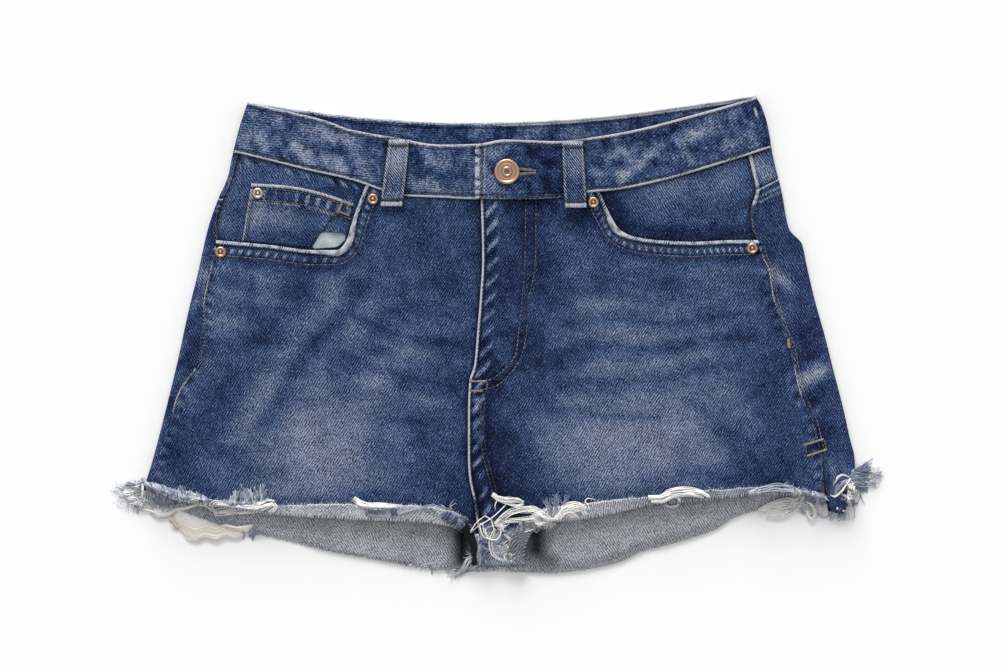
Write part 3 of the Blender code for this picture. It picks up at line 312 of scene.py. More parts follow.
def near(line, x, y):
    """The distance of points to a polyline (left of its direction above 0) and how far along
    it they are."""
    line = np.asarray(line, dtype=float)[:, :2]
    shape, at = np.shape(x), np.column_stack([np.ravel(x), np.ravel(y)])
    run = np.diff(line, axis=0)
    length = np.hypot(*run.T)
    best = np.full(len(at), 1e9)
    side, along = np.zeros(len(at)), np.zeros(len(at))
    start = np.concatenate([[0], np.cumsum(length)])
    for i in range(len(run)):
        off = at - line[i]
        part = np.clip(off @ run[i] / length[i] ** 2, 0, 1)
        gap = np.hypot(*(off - part[:, None] * run[i]).T)
        nearer = gap < best
        best = np.where(nearer, gap, best)
        side = np.where(nearer, np.sign(run[i, 0] * off[:, 1] - run[i, 1] * off[:, 0]), side)
        along = np.where(nearer, start[i] + part * length[i], along)
    return (best * side).reshape(shape), along.reshape(shape)


def beside(line, distance):
    """A polyline moved sideways by a distance, to the left of its direction above 0."""
    line = np.asarray(line, dtype=float)[:, :2]
    run = np.gradient(line, axis=0)
    return line + np.column_stack([-run[:, 1], run[:, 0]]) / np.hypot(*run.T)[:, None] * distance


def run_lengths(line):
    """The distance along a polyline of each of its points."""
    return np.concatenate([[0], np.cumsum(np.hypot(*np.diff(line, axis=0).T))])


def at_length(line, at):
    """The points of a polyline at distances along it."""
    steps = run_lengths(line)
    return np.column_stack([np.interp(at, steps, axis) for axis in line.T])


def rough(x, y, size, seed):
    """Smooth unevenness between about -1 and 1: five crossing waves of random direction."""
    chance = np.random.default_rng(seed)
    total = np.zeros(np.broadcast(x, y).shape)
    for angle, phase, stretch in zip(chance.uniform(0, math.pi, 5), chance.uniform(0, 6.3, 5),
                                     chance.uniform(0.7, 1.5, 5)):
        total += np.sin((x * math.cos(angle) + y * math.sin(angle)) * stretch / size + phase)
    return total / 3


def uneven(at, size, seed):
    """The same unevenness along one direction only."""
    return rough(at, 0 * at, size, seed)


# -------- the lie of the garment
def fold_x(side, y):
    """x of the crest of a side fold."""
    return through(FOLD_RIGHT if side > 0 else FOLD_LEFT, y)


def seam_in(side, y):
    """How far in from the fold's crest the side seam lies on the front."""
    return through(SIDE_SEAM_RIGHT if side > 0 else SIDE_SEAM_LEFT, y)


def lift(x, y):
    """How far the upper layer swells above the height of the side folds."""
    inside = np.minimum(x - fold_x(-1, y), fold_x(1, y) - x)
    swell = 0.75 + 0.25 * np.sin(x / 31 + y / 47) * np.cos(y / 38 - x / 90)
    ripple = 0.3 * np.sin(x / 12.5 + 0.6 * np.sin(y / 20)) * ease((-60 - y) / 50)
    return ease((inside - FOLD_R) / 45) * (swell + ripple)


def top_left(x, y):
    """Outer height of the left front, which dips to pass under the fly edge."""
    dip = ease((x - through(FLY_EDGE, y) + 32) / 28)
    low = 5.0 - 1.5 * ease((CROTCH_Y - y) / 30)
    return (2 * FOLD_R + lift(x, y)) * (1 - dip) + low * dip


def top_right(x, y):
    """Outer height of the right front, raised in a ridge where it laps the left."""
    close = 1 - ease((x - through(FLY_EDGE, y) - OVERLAP) / 10)
    sink = ease((CROTCH_Y - y) / 30)
    level = 2 * FOLD_R + lift(x, y) * (1 - sink) - 0.4 * sink
    return level * (1 - close) + (7.0 - 1.8 * sink) * close


def top_front(x, y):
    """Outer height of whichever front lies on top."""
    return np.where(x < through(FLY_EDGE, y), top_left(x, y), top_right(x, y))


def wrap(side, reach, y, radius, top):
    """A point of the flattened tube: reach is measured round from the crest of the side fold,
    below 0 on the upper layer and above 0 underneath."""
    turn = np.clip((reach + radius) / radius, 0, math.pi)
    before = np.minimum(reach + radius, 0)
    after = np.maximum(reach + radius - math.pi * radius, 0)
    x = fold_x(side, y) - side * (radius - radius * np.sin(turn) - before + after)
    z = radius * (1 + np.cos(turn))
    z = np.where(before < 0, top(x, y), z)
    return np.stack([x, y, z], axis=-1)


def round_rows(side, front, top, bottom, radius, height, stations, spans, back=CENTRE_BACK):
    """A grid of points from a line on the front, round the side fold, to the centre back, and
    the reach of each.  front gives the reach of that line at a height y, top and bottom give y
    at a reach, and spans are the numbers of cells on the front, round the fold and underneath."""
    y = np.asarray(stations, dtype=float)
    start = front(y[[0, -1]])
    high, low = top(start[0], y[0]), bottom(start[-1], y[-1])
    down = np.clip((high - y) / (high - low), 0, 1)[:, None]
    down[0], down[-1] = 0, 1
    zone = [index + np.linspace(0, 1, cells + 1)[:-1] for index, cells in enumerate(spans)]
    zone = np.concatenate(zone + [[len(spans)]])[None, :]
    y = y[:, None] + 0 * zone
    for _ in range(8):
        end = side * (fold_x(side, y) - back) + (math.pi - 2) * radius
        start = front(y)
        turned = radius * (math.pi - 1)
        reach = (start + (-radius - start) * np.clip(zone, 0, 1)
                 + math.pi * radius * np.clip(zone - 1, 0, 1)
                 + (end - turned) * np.clip(zone - 2, 0, 1))
        y = top(reach, y) * (1 - down) + bottom(reach, y) * down
    return wrap(side, reach, y, radius, height), reach


def patch(top, bottom, left, right, u, v):
    """The surface spanned by four border curves that share their corners."""
    u, v = u[None, :, None], v[:, None, None]
    ruled = (1 - v) * top[None] + v * bottom[None] + (1 - u) * left[:, None] + u * right[:, None]
    corners = ((1 - u) * (1 - v) * top[0] + u * (1 - v) * top[-1]
               + (1 - u) * v * bottom[0] + u * v * bottom[-1])
    return ruled - corners


def quads(rows, columns, first=0):
    """The cells of a grid of points, facing up where rows run down and columns to the right."""
    index = first + np.arange(rows * columns).reshape(rows, columns)
    return np.stack([index[1:, :-1], index[1:, 1:], index[:-1, 1:], index[:-1, :-1]],
                    axis=-1).reshape(-1, 4)


# -------- materials
def linear(code):
    """The linear red, green, blue and alpha of an sRGB hex colour."""
    part = np.array([int(code[i:i + 2], 16) for i in (1, 3, 5)]) / 255
    part = np.where(part <= 0.04045, part / 12.92, ((part + 0.055) / 1.055) ** 2.4)
    return (*part.tolist(), 1.0)


def add(tree, kind, inputs=None, **settings):
    """Adds a node with its settings; inputs gives a value or a (node, output) link a socket."""
    node = tree.nodes.new("ShaderNode" + kind)
    for key, value in settings.items():
        setattr(node, key, value)
    for key, value in (inputs or {}).items():
        if isinstance(value, tuple) and isinstance(value[0], bpy.types.Node):
            tree.links.new(value[0].outputs[value[1]], node.inputs[key])
        else:
            node.inputs[key].default_value = value
    return node


def material(name, **levels):
    """A new material, its node tree and its shader, whose inputs get the given levels."""
    made = bpy.data.materials.new(name)
    made.use_nodes = True
    shader = made.node_tree.nodes["Principled BSDF"]
    for key, value in levels.items():
        shader.inputs[key.replace("_", " ")].default_value = value
    return made, made.node_tree, shader


def noise(tree, place, scale, detail, roughness=0.5):
    """Uneven shading of the given fineness at a place."""
    return add(tree, "TexNoise", {"Vector": (place, 0), "Scale": scale, "Detail": detail,
                                  "Roughness": roughness})


def scaled(tree, value, share, other):
    """A value times a share, plus another value."""
    return add(tree, "Math", {0: value, 1: share, 2: other}, operation="MULTIPLY_ADD")


def mixed(tree, share, first, second):
    """The first colour where the share is 0, the second where it is 1."""
    return add(tree, "Mix", {0: share, 6: first, 7: second}, data_type="RGBA")


def ramp(tree, value, stops):
    """A colour ramp through (place, hex colour) stops."""
    node = add(tree, "ValToRGB", {"Fac": value})
    line = node.color_ramp
    while len(line.elements) < len(stops):
        line.elements.new(1.0)
    for element, (place, code) in zip(line.elements, stops):
        element.position, element.color = place, linear(code)
    return node


def weave(tree, twill_mm, ridge, angle, wander):
    """The broken diagonal of a twill in a piece's own flat coordinates, about 0 on average:
    bands across the twill that wander with the washing, short streaks along them and a grain of
    single yarns, added up.  Twill lines of real denim are 0.8 mm apart; they are drawn twice as
    coarse so that they show."""
    flat = add(tree, "UVMap", uv_map="cloth")
    place = add(tree, "VectorMath", {0: (flat, "UV"), "Scale": 1000.0}, operation="SCALE")
    bent = place
    for scale, sway in ((1 / 11, wander), (1 / 3.4, 0.9)):
        push = noise(tree, place, scale, 1.0)
        bent = add(tree, "VectorMath", {0: (push, "Color"), 1: (sway, sway, 0), 2: (bent, 0)},
                   operation="MULTIPLY_ADD")
    turned = add(tree, "Mapping", {"Vector": (bent, 0), "Rotation": (0, 0, math.radians(angle))})
    bands = add(tree, "TexWave", {"Vector": (turned, 0), "Scale": 2 * math.pi / 20 / twill_mm,
                                  "Distortion": 1.6, "Detail": 2.0, "Detail Scale": 1.8},
                wave_type="BANDS", bands_direction="X")
    long = add(tree, "Mapping", {"Vector": (turned, 0), "Scale": (0.95, 0.5, 1)})
    dashes = noise(tree, long, 1.0, 2.0, 0.6)
    grain = noise(tree, place, 0.9, 2.0, 0.7)
    warp = add(tree, "Mapping", {"Vector": (place, 0), "Scale": (0.9, 0.09, 1)})
    slubs = noise(tree, warp, 1.0, 2.0)
    total = scaled(tree, (bands, "Fac"), ridge, -1.8 - ridge / 2)
    for part, share in ((dashes, 1.4), (grain, 1.9), (slubs, 0.3)):
        total = scaled(tree, (part, "Fac"), share, (total, 0))
    return place, total


INDIGO = [
    (0.0, "#0a0f25"), (0.10, "#121a38"), (0.2, "#1e2b4d"), (0.3, "#293c60"), (0.42, "#3a4f74"),
    (0.55, "#4f6388"), (0.68, "#64779b"), (0.84, "#7f90b0"), (1.0, "#9aa8c3")]
GREY_SIDE = [
    (0.0, "#2b2e3a"), (0.25, "#505563"), (0.5, "#787d8b"), (0.72, "#989daa"), (1.0, "#c3c7cf")]


def denim(name, tones, contrast, twill_mm, ridge, angle, wander, wear_code, blots):
    """Washed cotton twill, rope-dyed and stonewashed: a dull matt cloth whose diagonal breaks
    into light and dark dashes, blotched where the dye has left it unevenly, grey-white where
    edges are abraded, and darkened towards near-black by painted shade."""
    made, tree, shader = material(name, Roughness=0.9, Specular_IOR_Level=0.08)
    place, yarns = weave(tree, twill_mm, ridge, angle, wander)
    wash = add(tree, "Attribute", attribute_name="wash")
    parts = add(tree, "SeparateColor", {"Color": (wash, "Color")})
    small = noise(tree, place, 1 / 7, 4.0, 0.62)
    wide = noise(tree, place, 1 / 26, 2.0)
    # pale threads stand out more as the dye around them fades
    gain = scaled(tree, (parts, 0), 1.5 * contrast, 0.5 * contrast)
    tone = scaled(tree, (yarns, 0), (gain, 0), (parts, 0))
    for blot, share in ((small, blots), (wide, 0.3)):
        balanced = add(tree, "Math", {0: (blot, "Fac"), 1: -0.5}, operation="ADD")
        tone = scaled(tree, (balanced, 0), share, (tone, 0))
    colour = ramp(tree, (tone, 0), tones)
    # the more the dye has faded, the greyer it is
    stale = add(tree, "MapRange", {"Value": (parts, 0), "From Min": 0.36, "From Max": 0.62,
                                   "To Max": 0.75})
    dull = add(tree, "HueSaturation", {"Color": (colour, "Color"), "Saturation": 0.6})
    dyed = mixed(tree, (stale, 0), (colour, "Color"), (dull, "Color"))
    scuffed = scaled(tree, (yarns, 0), 0.42, (parts, 1))
    edge = add(tree, "MapRange", {"Value": (scuffed, 0), "From Min": 0.2, "From Max": 0.62})
    pale = mixed(tree, (edge, 0), (dyed, 2), linear(wear_code))
    # the third mark is painted shade: it darkens the colour towards near-black
    shaded_colour = mixed(tree, (parts, 2), (pale, 2), linear("#070a14"))
    bump = add(tree, "Bump", {"Height": (yarns, 0), "Strength": 0.45, "Distance": 0.0004})
    tree.links.new(shaded_colour.outputs[2], shader.inputs["Base Color"])
    tree.links.new(bump.outputs[0], shader.inputs["Normal"])
    return made


def cotton(name, codes):
    """Spun cotton thread: soft and matt, its colour set thread by thread with the tint."""
    made, tree, shader = material(name, Roughness=0.85, Specular_IOR_Level=0.2, Sheen_Weight=0.15)
    tint = add(tree, "Attribute", attribute_name="tint")
    stops = [(i / (len(codes) - 1), code) for i, code in enumerate(codes)]
    colour = ramp(tree, (tint, "Fac"), stops)
    tree.links.new(colour.outputs["Color"], shader.inputs["Base Color"])
    return made


def brushed_metal(name, code, dark_code):
    """Plated brass, tumbled: fine scratches break its gloss, dirt darkens the grooves and painted
    shade the underside and foot.
    """
    made, tree, shader = material(name, Metallic=1.0, Roughness=0.4)
    where = add(tree, "TexCoord")
    scratch = add(tree, "TexNoise", {"Vector": (where, "Object"), "Scale": 900.0, "Detail": 4.0})
    wash = add(tree, "Attribute", attribute_name="wash")
    parts = add(tree, "SeparateColor", {"Color": (wash, "Color")})
    base = mixed(tree, (parts, 2), linear(code), linear(dark_code))
    bump = add(tree, "Bump", {"Height": (scratch, "Fac"), "Strength": 0.25, "Distance": 0.0001})
    tree.links.new(base.outputs[2], shader.inputs["Base Color"])
    tree.links.new(bump.outputs[0], shader.inputs["Normal"])
    return made


# name, tones, contrast, twill in mm, its ridge, angle and wander, worn edges, blotches
RIGHT_SIDE = denim("washed_denim", INDIGO, 0.62, 1.55, 0.6, 32, 3.0, "#b7bcc6", 0.5)
BAND_SIDE = denim("waistband_denim", INDIGO, 0.75, 1.6, 0.35, 38, 2.5, "#bcc1ca", 1.2)
LOOP_SIDE = denim("belt_loop_denim", INDIGO, 0.7, 1.4, 0.9, 35, 0.8, "#bcc1ca", 0.6)
WRONG_SIDE = denim("denim_wrong_side", GREY_SIDE, 0.52, 1.6, 0.6, -32, 3.0, "#cfd0d3", 0.5)
POCKETING = denim("pocketing", [(0.0, "#5f6c72"), (0.5, "#a9b6ba"), (1.0, "#d2dcde")],
                  0.1, 1.1, 0.2, 0, 1.0, "#d4d8da", 0.6)
TOPSTITCH = cotton("topstitching", ["#1b2033", "#474a55", "#85817c", "#b0a08b"])
FRAYED = cotton("frayed_thread", ["#35425f", "#616e8e", "#8a94aa", "#b9bec8", "#e4e3e2", "#faf8f4"])
UNBLEACHED = cotton("unbleached_thread", ["#b3a892", "#d5cbb8", "#ece5d8", "#f6f2ea"])
COPPER = brushed_metal("copper", "#cda690", "#57392c")
NICKEL = brushed_metal("aged_nickel", "#cfc6b0", "#6b6252")


# -------- making pieces
def piece(name, points, faces, materials, marks=None, flat=None, nodes=()):
    """The named object of a surface in mm, with its marks as attributes and its flat
    coordinates as the cloth UV map.  It rides on the part's only body."""
    points = np.asarray(points, dtype=float).reshape(-1, 3)
    faces = np.asarray(faces)
    mesh = bpy.data.meshes.new(name)
    mesh.vertices.add(len(points))
    mesh.vertices.foreach_set("co", (points * MM).astype(np.float32).ravel())
    mesh.loops.add(faces.size)
    mesh.loops.foreach_set("vertex_index", faces.astype(np.int32).ravel())
    mesh.polygons.add(len(faces))
    starts = np.arange(0, faces.size, faces.shape[1], dtype=np.int32)
    mesh.polygons.foreach_set("loop_start", starts)
    mesh.polygons.foreach_set("use_smooth", np.ones(len(faces), dtype=bool))
    for key, values in (marks or {}).items():
        values = np.asarray(values, dtype=np.float32)
        kind, field = ("FLOAT", "value") if values.ndim == 1 else ("FLOAT_COLOR", "color")
        mesh.attributes.new(key, kind, "POINT").data.foreach_set(field, values.ravel())
    if flat is not None:  # for each point, or for each corner of each face
        flat = np.asarray(flat, dtype=float) * MM
        corners = flat if flat.shape[:2] == faces.shape else flat.reshape(-1, 2)[faces.ravel()]
        mesh.uv_layers.new(name="cloth").data.foreach_set("uv", corners.astype(np.float32).ravel())
    mesh.update(calc_edges=True)
    obj = bpy.data.objects.new(name, mesh)
    bpy.context.scene.collection.objects.link(obj)
    for made in materials:
        mesh.materials.append(made)
    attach(obj, "root")
    if nodes:
        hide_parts(*nodes)
    return obj


def wash(fade, wear, shade):
    """The three marks of a cloth as one colour attribute, kept between 0 and 1: its fade and
    wear, and the painted shade of its grooves, creases, gaps and hollows.
    """
    layers = np.broadcast_arrays(fade, wear, shade, 1.0)
    return np.clip(np.stack([layer.ravel() for layer in layers], axis=-1), 0, 1)


def cloth(name, points, faces, thickness, colours, flat, slot="washed_denim",
          materials=(RIGHT_SIDE, WRONG_SIDE)):
    """The cloth in place of the node of that name: a surface given its thickness inwards, with
    the wrong side, if it has one, on the inner face only."""
    obj = piece(name + "_cloth", points, faces, materials, {"wash": colours}, flat, (name,))
    made = obj.modifiers.new("wall", "SOLIDIFY")
    made.thickness, made.offset = thickness * MM, -1
    made.material_offset = len(materials) - 1
    return obj


def merge(grids, marks, flats, flips):
    """Joins grids into one surface: points at the same place become one."""
    firsts = np.cumsum([0] + [grid.shape[0] * grid.shape[1] for grid in grids])
    faces = np.concatenate([quads(*grid.shape[:2], first)[:, ::flip]
                            for grid, first, flip in zip(grids, firsts, flips)])
    points = np.concatenate([grid.reshape(-1, 3) for grid in grids])
    _, keep, back = np.unique(np.round(points, 4), axis=0, return_index=True, return_inverse=True)
    return (points[keep], back.reshape(-1)[faces], np.concatenate(marks)[keep],
            np.concatenate([flat.reshape(-1, 2) for flat in flats])[keep])


# -------- stitched seams
T = np.linspace(0, 1, 90)  # where the lines along the seams are sampled
MOUTHS = {-1: path(POCKET_LEFT, T), 1: path(POCKET_RIGHT, T)}
FLY_Y = np.linspace(97, -162, 120)
FLY_LINE = np.column_stack([through(FLY_EDGE, FLY_Y), FLY_Y])
J_OUTER, J_INNER = path(FLY_STITCH_OUTER, T), path(FLY_STITCH_INNER, T)
CENTRE_SEAM = path(CENTRE_STITCH, T)
POCKET_ROWS = (4.4, 10.2)  # distance of the two rows of stitches from a pocket mouth


def side_line(side, y):
    """x of the front panels' side edge, which parts from the back in a slit on the right."""
    slit = 1.8 * ease((SLIT_Y - y) / 25) if side > 0 else 0
    return fold_x(side, y) - side * (seam_in(side, y) + SEAM + slit)


def hem_line(side, x):
    """y of the fold along a front panel's hem."""
    return through([row[:2] for row in (HEM_LEFT if side < 0 else HEM_RIGHT)], x)


def in_box(x, y):
    """1 inside the stitched box at the head of the slit, 0 outside it."""
    x, y = x - BOX_AT[0], y - BOX_AT[1]
    along = x * math.cos(BOX_TURN) + y * math.sin(BOX_TURN)
    across = y * math.cos(BOX_TURN) - x * math.sin(BOX_TURN)
    return ease((7.4 - np.abs(along)) / 0.8) * ease((3.8 - np.abs(across)) / 0.8)


def groove(distance):
    """A row of stitches pulls the cloth down between the cushions on either side of it."""
    return -0.4 * bell(distance, 0.9) + 0.12 * bell(np.abs(distance) - 2.0, 1.0)


def puckers(along, distance, first, last, pitch, seed, slant=0.5):
    """Slanted ripples of a seam between two distances from it."""
    inside = ease((distance - first) / 1.2) * ease((last - distance) / 1.2)
    place = along + slant * distance + 2.5 * rough(along, distance, 17, seed)
    wave = np.sin(2 * math.pi * place / pitch)
    return wave * inside * (0.75 + 0.35 * uneven(along, 9, seed + 1))


def front_finish(side, x, y):
    """The relief of a front panel in mm, and its fade, wear and painted shade: folds, worn edges,
    stitched rows and the ripples along them, with the shade painted in grooves, troughs and gaps."""
    dent = strokes(FOLDS_LEFT if side < 0 else FOLDS_RIGHT, x, y)
    fade = 0.36 + strokes(FADES_LEFT if side < 0 else FADES_RIGHT, x, y)
    fade += 0.035 * rough(x, y * 1.6, 7, 3) + 0.02 * rough(x * 0.4, y, 3.2, 4)
    mouth, along = near(MOUTHS[side], x, y)
    mouth = mouth * side
    gape = bell(along - 92, 16) if side < 0 else 0.75 * bell(along - 103, 11)
    roll = ease((2.7 + 2.2 * gape - mouth) / 1.1) * (mouth > -6)
    dent += bell(mouth - 1.6, 1.8 + 0.8 * gape) * (0.5 + 0.8 * gape)
    dent += (0.18 * rough(along, mouth, 1.5, 6) + 0.55 * gape * rough(along, mouth, 2.6, 7)) * roll
    lumps = rough(along, mouth * 1.5, 1.5, 5)
    wear = roll * (0.5 + 0.16 * lumps + (0.42 + 0.16 * lumps) * gape)
    if side > 0:
        wear *= 1 - 0.35 * ease((along - 110) / 10)
    for row in POCKET_ROWS:
        dent += groove(mouth - row)
    ripple = puckers(along, mouth, *POCKET_ROWS, 6.4 if side < 0 else 4.6, 11, 0.2)
    dent += 0.38 * ripple
    puff = ease(ripple * 1.3)
    # painted shade: a dark band below the lower row, dark lines in the grooves by the rows, in the
    # troughs of the ripples and in the creases of the gaping roll
    fade += ((0.4 * puff - 0.04) * (1 - 0.6 * gape) * bell(mouth - 7.0, 2.2)
             - 0.09 * bell(mouth - 12.6, 3))
    shade = 0.75 * bell(mouth - 3.5 - 2.2 * gape, 0.8)
    shade += 0.55 * bell(mouth - POCKET_ROWS[1] + 1.0, 0.7) + 0.4 * bell(mouth - 11.6, 0.8)
    shade += 0.3 * bell(mouth - 7.0, 1.8) * ease(-ripple * 1.3)
    shade += 0.6 * gape * ease(-lumps) * roll
    # painted shade under the waistband's lower edge
    band = y - through(BAND_LOW, x)
    shade += 0.45 * bell(band, 2.0)
    fade += 0.06 * uneven(x, 2.1, 8) * bell(band + 5, 5)
    edge = side * (side_line(side, y) - x)
    dent += 0.35 * bell(edge - 0.8, 1.4)
    worn = through(SIDE_WEAR[side], y) * (1 + 0.2 * uneven(y, 6, 9))
    wear = np.maximum(wear, worn * bell(edge, 1.0) * (y > -100))
    # painted shade in the groove beside the side seam
    shade += 0.35 * bell(edge - 2.2, 0.9) * (y < 64) * (ease((y + 62) / 8) if side < 0 else 1)
    fade += 0.14 * puckers(y, edge, 0.5, 7, 9, 13)
    dent += 0.2 * puckers(y, edge, 0.5, 7, 9, 13)
    if side > 0:
        fly, along = near(FLY_LINE, x, y)
        fly = np.where(y > 96.9, FAR, fly)
        dent += 0.3 * bell(fly - 1.0, 1.4) * ease((-y + 130) / 10)
        wear = np.maximum(wear, (0.72 + 0.1 * uneven(along, 3, 6)) * ease((1.9 - fly) / 0.9))
        # painted shade in the groove beside the lapped fly edge
        shade += (0.75 + 0.2 * uneven(along, 0.9, 10)) * bell(fly - 2.7, 0.9)
        slant = along + 0.6 * fly
        ripple = puckers(slant, fly, 2.4, 12, 12.5, 21)
        dent += 0.5 * ripple
        fade += ((0.4 * ease(ripple * 1.2) - 0.1 * ease(-ripple)) * ease((100 - y) / 4)
                 - 0.06 * bell(fly - 5, 5))
        shade += 0.5 * in_box(x, y)
        # painted shade beside each row of the J stitching and along the centre seam below
        for line in (J_OUTER, J_INNER):
            seam = near(line, x, y)[0]
            dent += groove(seam)
            shade += 0.45 * bell(seam + 0.9, 1.0)
        inner, along = near(J_INNER, x, y)
        ripple = puckers(along, inner, 0.4, 6.6, 7.5, 23)
        dent += 0.18 * ripple
        fade += 0.07 * ripple - 0.1 * bell(inner - 3.4, 3.2) * ease((10 - y) / 25)
        ridge = ease((-36 - y) / 6)
        centre, along = near(CENTRE_SEAM, x, y)
        for row in (0.0, CENTRE_ROW):
            dent += groove(centre - row) * ridge
        on_seam = ridge * ease((fly + 0.5) / 1.5) * ease((2.0 - centre) / 2.5)
        dent += 0.35 * on_seam * (fly < 14)
        fade += ridge * 0.24 * puckers(along, fly, 1.5, 9, 8, 25)
        fade -= 0.1 * ridge * bell(centre - 4.5, 3)
        shade += 0.4 * ridge * bell(centre + 0.8, 0.9)
        # painted shade in the dark fold right of the fly edge down towards the crotch
        low = ease((-86 - y) / 14) * ease((y + 130) / 6)
        shade += 0.75 * low * ease((fly - 1.6) / 1.2) * ease((7.4 - fly) / 2)
        wear *= 1 - 0.75 * ease((-108 - y) / 8) * ease((4 - fly) / 1.5) * ease((y + 128) / 6)
        tip = ease((-129 - y) / 6)
        wear = np.maximum(wear, (0.3 + 0.22 * rough(x, y, 2, 66)) * tip)
        fade += 0.1 * tip
    else:
        gap = through(FLY_EDGE, y) - x
        # painted shade where the left front passes under the lapped edge
        shade += 0.75 * bell(gap, 2.4)
        fade -= 0.08 * bell(gap, 9)
    hem = y - hem_line(side, x)
    # painted shade just above the turned-up hem
    shade += 0.3 * bell(hem - 10, 2) * ease((-100 - y) / 10)
    return dent, fade, wear, shade


def front_panel(side):
    """A front leg panel: the main surface, the narrow strip at the crotch and the turned-up hem,
    which shows the wrong side.  Gives the line of the hem's raw edge too."""
    word = "left" if side < 0 else "right"
    height = top_left if side < 0 else top_right
    mouth, hem, strip = ((POCKET_LEFT, HEM_LEFT, STRIP_LEFT) if side < 0
                         else (POCKET_RIGHT, HEM_RIGHT, STRIP_RIGHT))
    mouth_cells, band_cells, strip_cells, rows = 128, 54, 32, 168
    mouth = [(float(side_line(side, mouth[0][1])), mouth[0][1])] + mouth[1:]
    hem = [(float(side_line(side, hem[0][1])), *hem[0][1:])] + hem[1:]
    hem_cells = mouth_cells + band_cells

    def centre(y):
        """x of the panel's edge at the fly."""
        return through(FLY_EDGE, y) + (OVERLAP if side < 0 else 0)

    band_x = np.linspace(mouth[-1][0], hem[-1][0], band_cells + 1)[1:]
    last = band_x[-1] + (centre(96.0) - band_x[-1]) * spaced(strip_cells, 0, 0.55)[1:]
    band_x = np.concatenate([band_x, last])
    band = np.column_stack([band_x, through(BAND_LOW, band_x) - SEAM])
    top = np.concatenate([path(mouth, spaced(mouth_cells, 0.5, 0)), band])
    edge = path(hem, spaced(hem_cells, 0.3, 0))
    y_low = hem[-1][1]
    low_x = hem[-1][0] + (centre(y_low) - hem[-1][0]) * spaced(strip_cells, 0, 0.55)[1:]
    bottom = np.concatenate([edge[:, :2], np.column_stack([low_x, np.full(strip_cells, y_low)])])
    v = spaced(rows, 0.45, 0)
    y_side = mouth[0][1] + (hem[0][1] - mouth[0][1]) * v
    left = np.column_stack([side_line(side, y_side), y_side])
    y_centre = top[-1, 1] + (y_low - top[-1, 1]) * v
    right = np.column_stack([centre(y_centre), y_centre])
    top[0], bottom[0], top[-1], bottom[-1] = left[0], left[-1], right[0], right[-1]
    flat = patch(top, bottom, left, right, np.linspace(0, 1, len(top)), v)

    strip_edge = path(strip, np.linspace(0, 1, 19)[1:])
    across = spaced(strip_cells, 0, 0.55)[None, :, None]
    inner = np.column_stack([centre(strip_edge[:, 1]), strip_edge[:, 1]])
    low = strip_edge[:, None, :2] * (1 - across) + inner[:, None] * across
    low = np.concatenate([flat[-1:, hem_cells:], low])

    border = np.concatenate([flat[-1, :hem_cells], low[:, 0]])
    widths = np.concatenate([edge[:, 2], strip_edge[:, 2]])
    run = np.gradient(border, axis=0)
    inward = np.column_stack([-run[:, 1], run[:, 0]]) / np.hypot(*run.T)[:, None] * -side
    ragged = widths + 0.45 * rough(border[:, 0], border[:, 1], 1.6, 31) + 0.5 * rough(
        border[:, 0], border[:, 1], 7, 32)
    base = height(border[:, 0], border[:, 1])
    rolled = [np.column_stack([border, base])]
    for angle in np.linspace(0, math.pi, 7)[1:]:
        rolled.append(np.column_stack([border - inward * HEM_R * math.sin(angle),
                                       base + HEM_R * (1 - math.cos(angle))]))
    for part in np.linspace(0, 1, 9)[1:]:
        laid = border + inward * (np.maximum(ragged, 0.6) * part)[:, None]
        wave = 0.3 * rough(border[:, 0] + part * 5, border[:, 1], 6, 33) * part
        over = height(laid[:, 0], laid[:, 1]) + 2 * HEM_R
        rolled.append(np.column_stack([laid, np.maximum(over + wave, base + 2 * HEM_R - 0.2)]))
    rolled = np.stack(rolled)

    grids, marks, flats = [], [], []
    for plane in (flat, low):
        x, y = plane[..., 0], plane[..., 1]
        dent, fade, wear, shade = front_finish(side, x, y)
        keep = ease((y - (y_low - 2)) / 8) if plane is flat else 0
        torn = ease((y_low + 4 - y) / 10)
        grids.append(np.stack([x, y, height(x, y) + dent * keep], axis=-1))
        marks.append(wash(fade + 0.3 * torn, np.maximum(wear, 0.2 * torn), shade * (1 - torn)))
        flats.append(plane)
    step = np.linspace(0, 1, len(rolled))[:, None]
    fade = 0.74 + 0.1 * rough(border[:, 0], border[:, 1], 5, 35)[None]
    wear = 0.5 * bell(step - 1, 0.12) + 0.3 * bell(step - 0.36, 0.1)
    # at the crotch the turn-up goes down between the legs, where painted shade darkens it
    crotch_shade = ease((-border[:, 1] - 129) / 7)[None] * (0.96 if side < 0 else 0.35)
    fade = fade - 0.2 * ease((-border[:, 1] - 131) / 6)[None]
    # painted shade: the turn-up darkens towards the right corner
    fade = fade - 0.26 * ease((border[:, 0] - 60) / 70)[None]
    marks.append(wash(fade, wear * (1 - crotch_shade), crotch_shade))
    grids.append(rolled)
    # the turn-up goes on from the panel in the cloth's own flat coordinates
    shift = np.concatenate([np.zeros(7), np.linspace(0, 1, 9)[1:]])[:, None, None]
    turned = 1.6 * step[..., None] + ragged[None, :, None] * shift
    flats.append(border[None] - inward[None] * turned)
    points, faces, colours, flat = merge(grids, marks, flats, (-side,) * 3)
    return cloth("front_" + word, points, faces, DENIM, colours, flat), rolled[-1, :, :2]


# -------- backs, yokes and waistband
def reach_x(side, reach, y, radius):
    """x of a reach round the side fold."""
    under = np.maximum(reach - (math.pi - 2) * radius, 0)
    return fold_x(side, y) - side * np.where(reach < 0, -reach, under)


def band_edge(side, radius, front_rows, back_rows):
    """The height y of an edge of the waistband at a reach round the side fold."""

    def edge(reach, y):
        """The front's line on the front, the back's line behind."""
        x = reach_x(side, reach, y, radius)
        return np.where(reach < 0, through(front_rows, x), through(back_rows, x))

    return edge


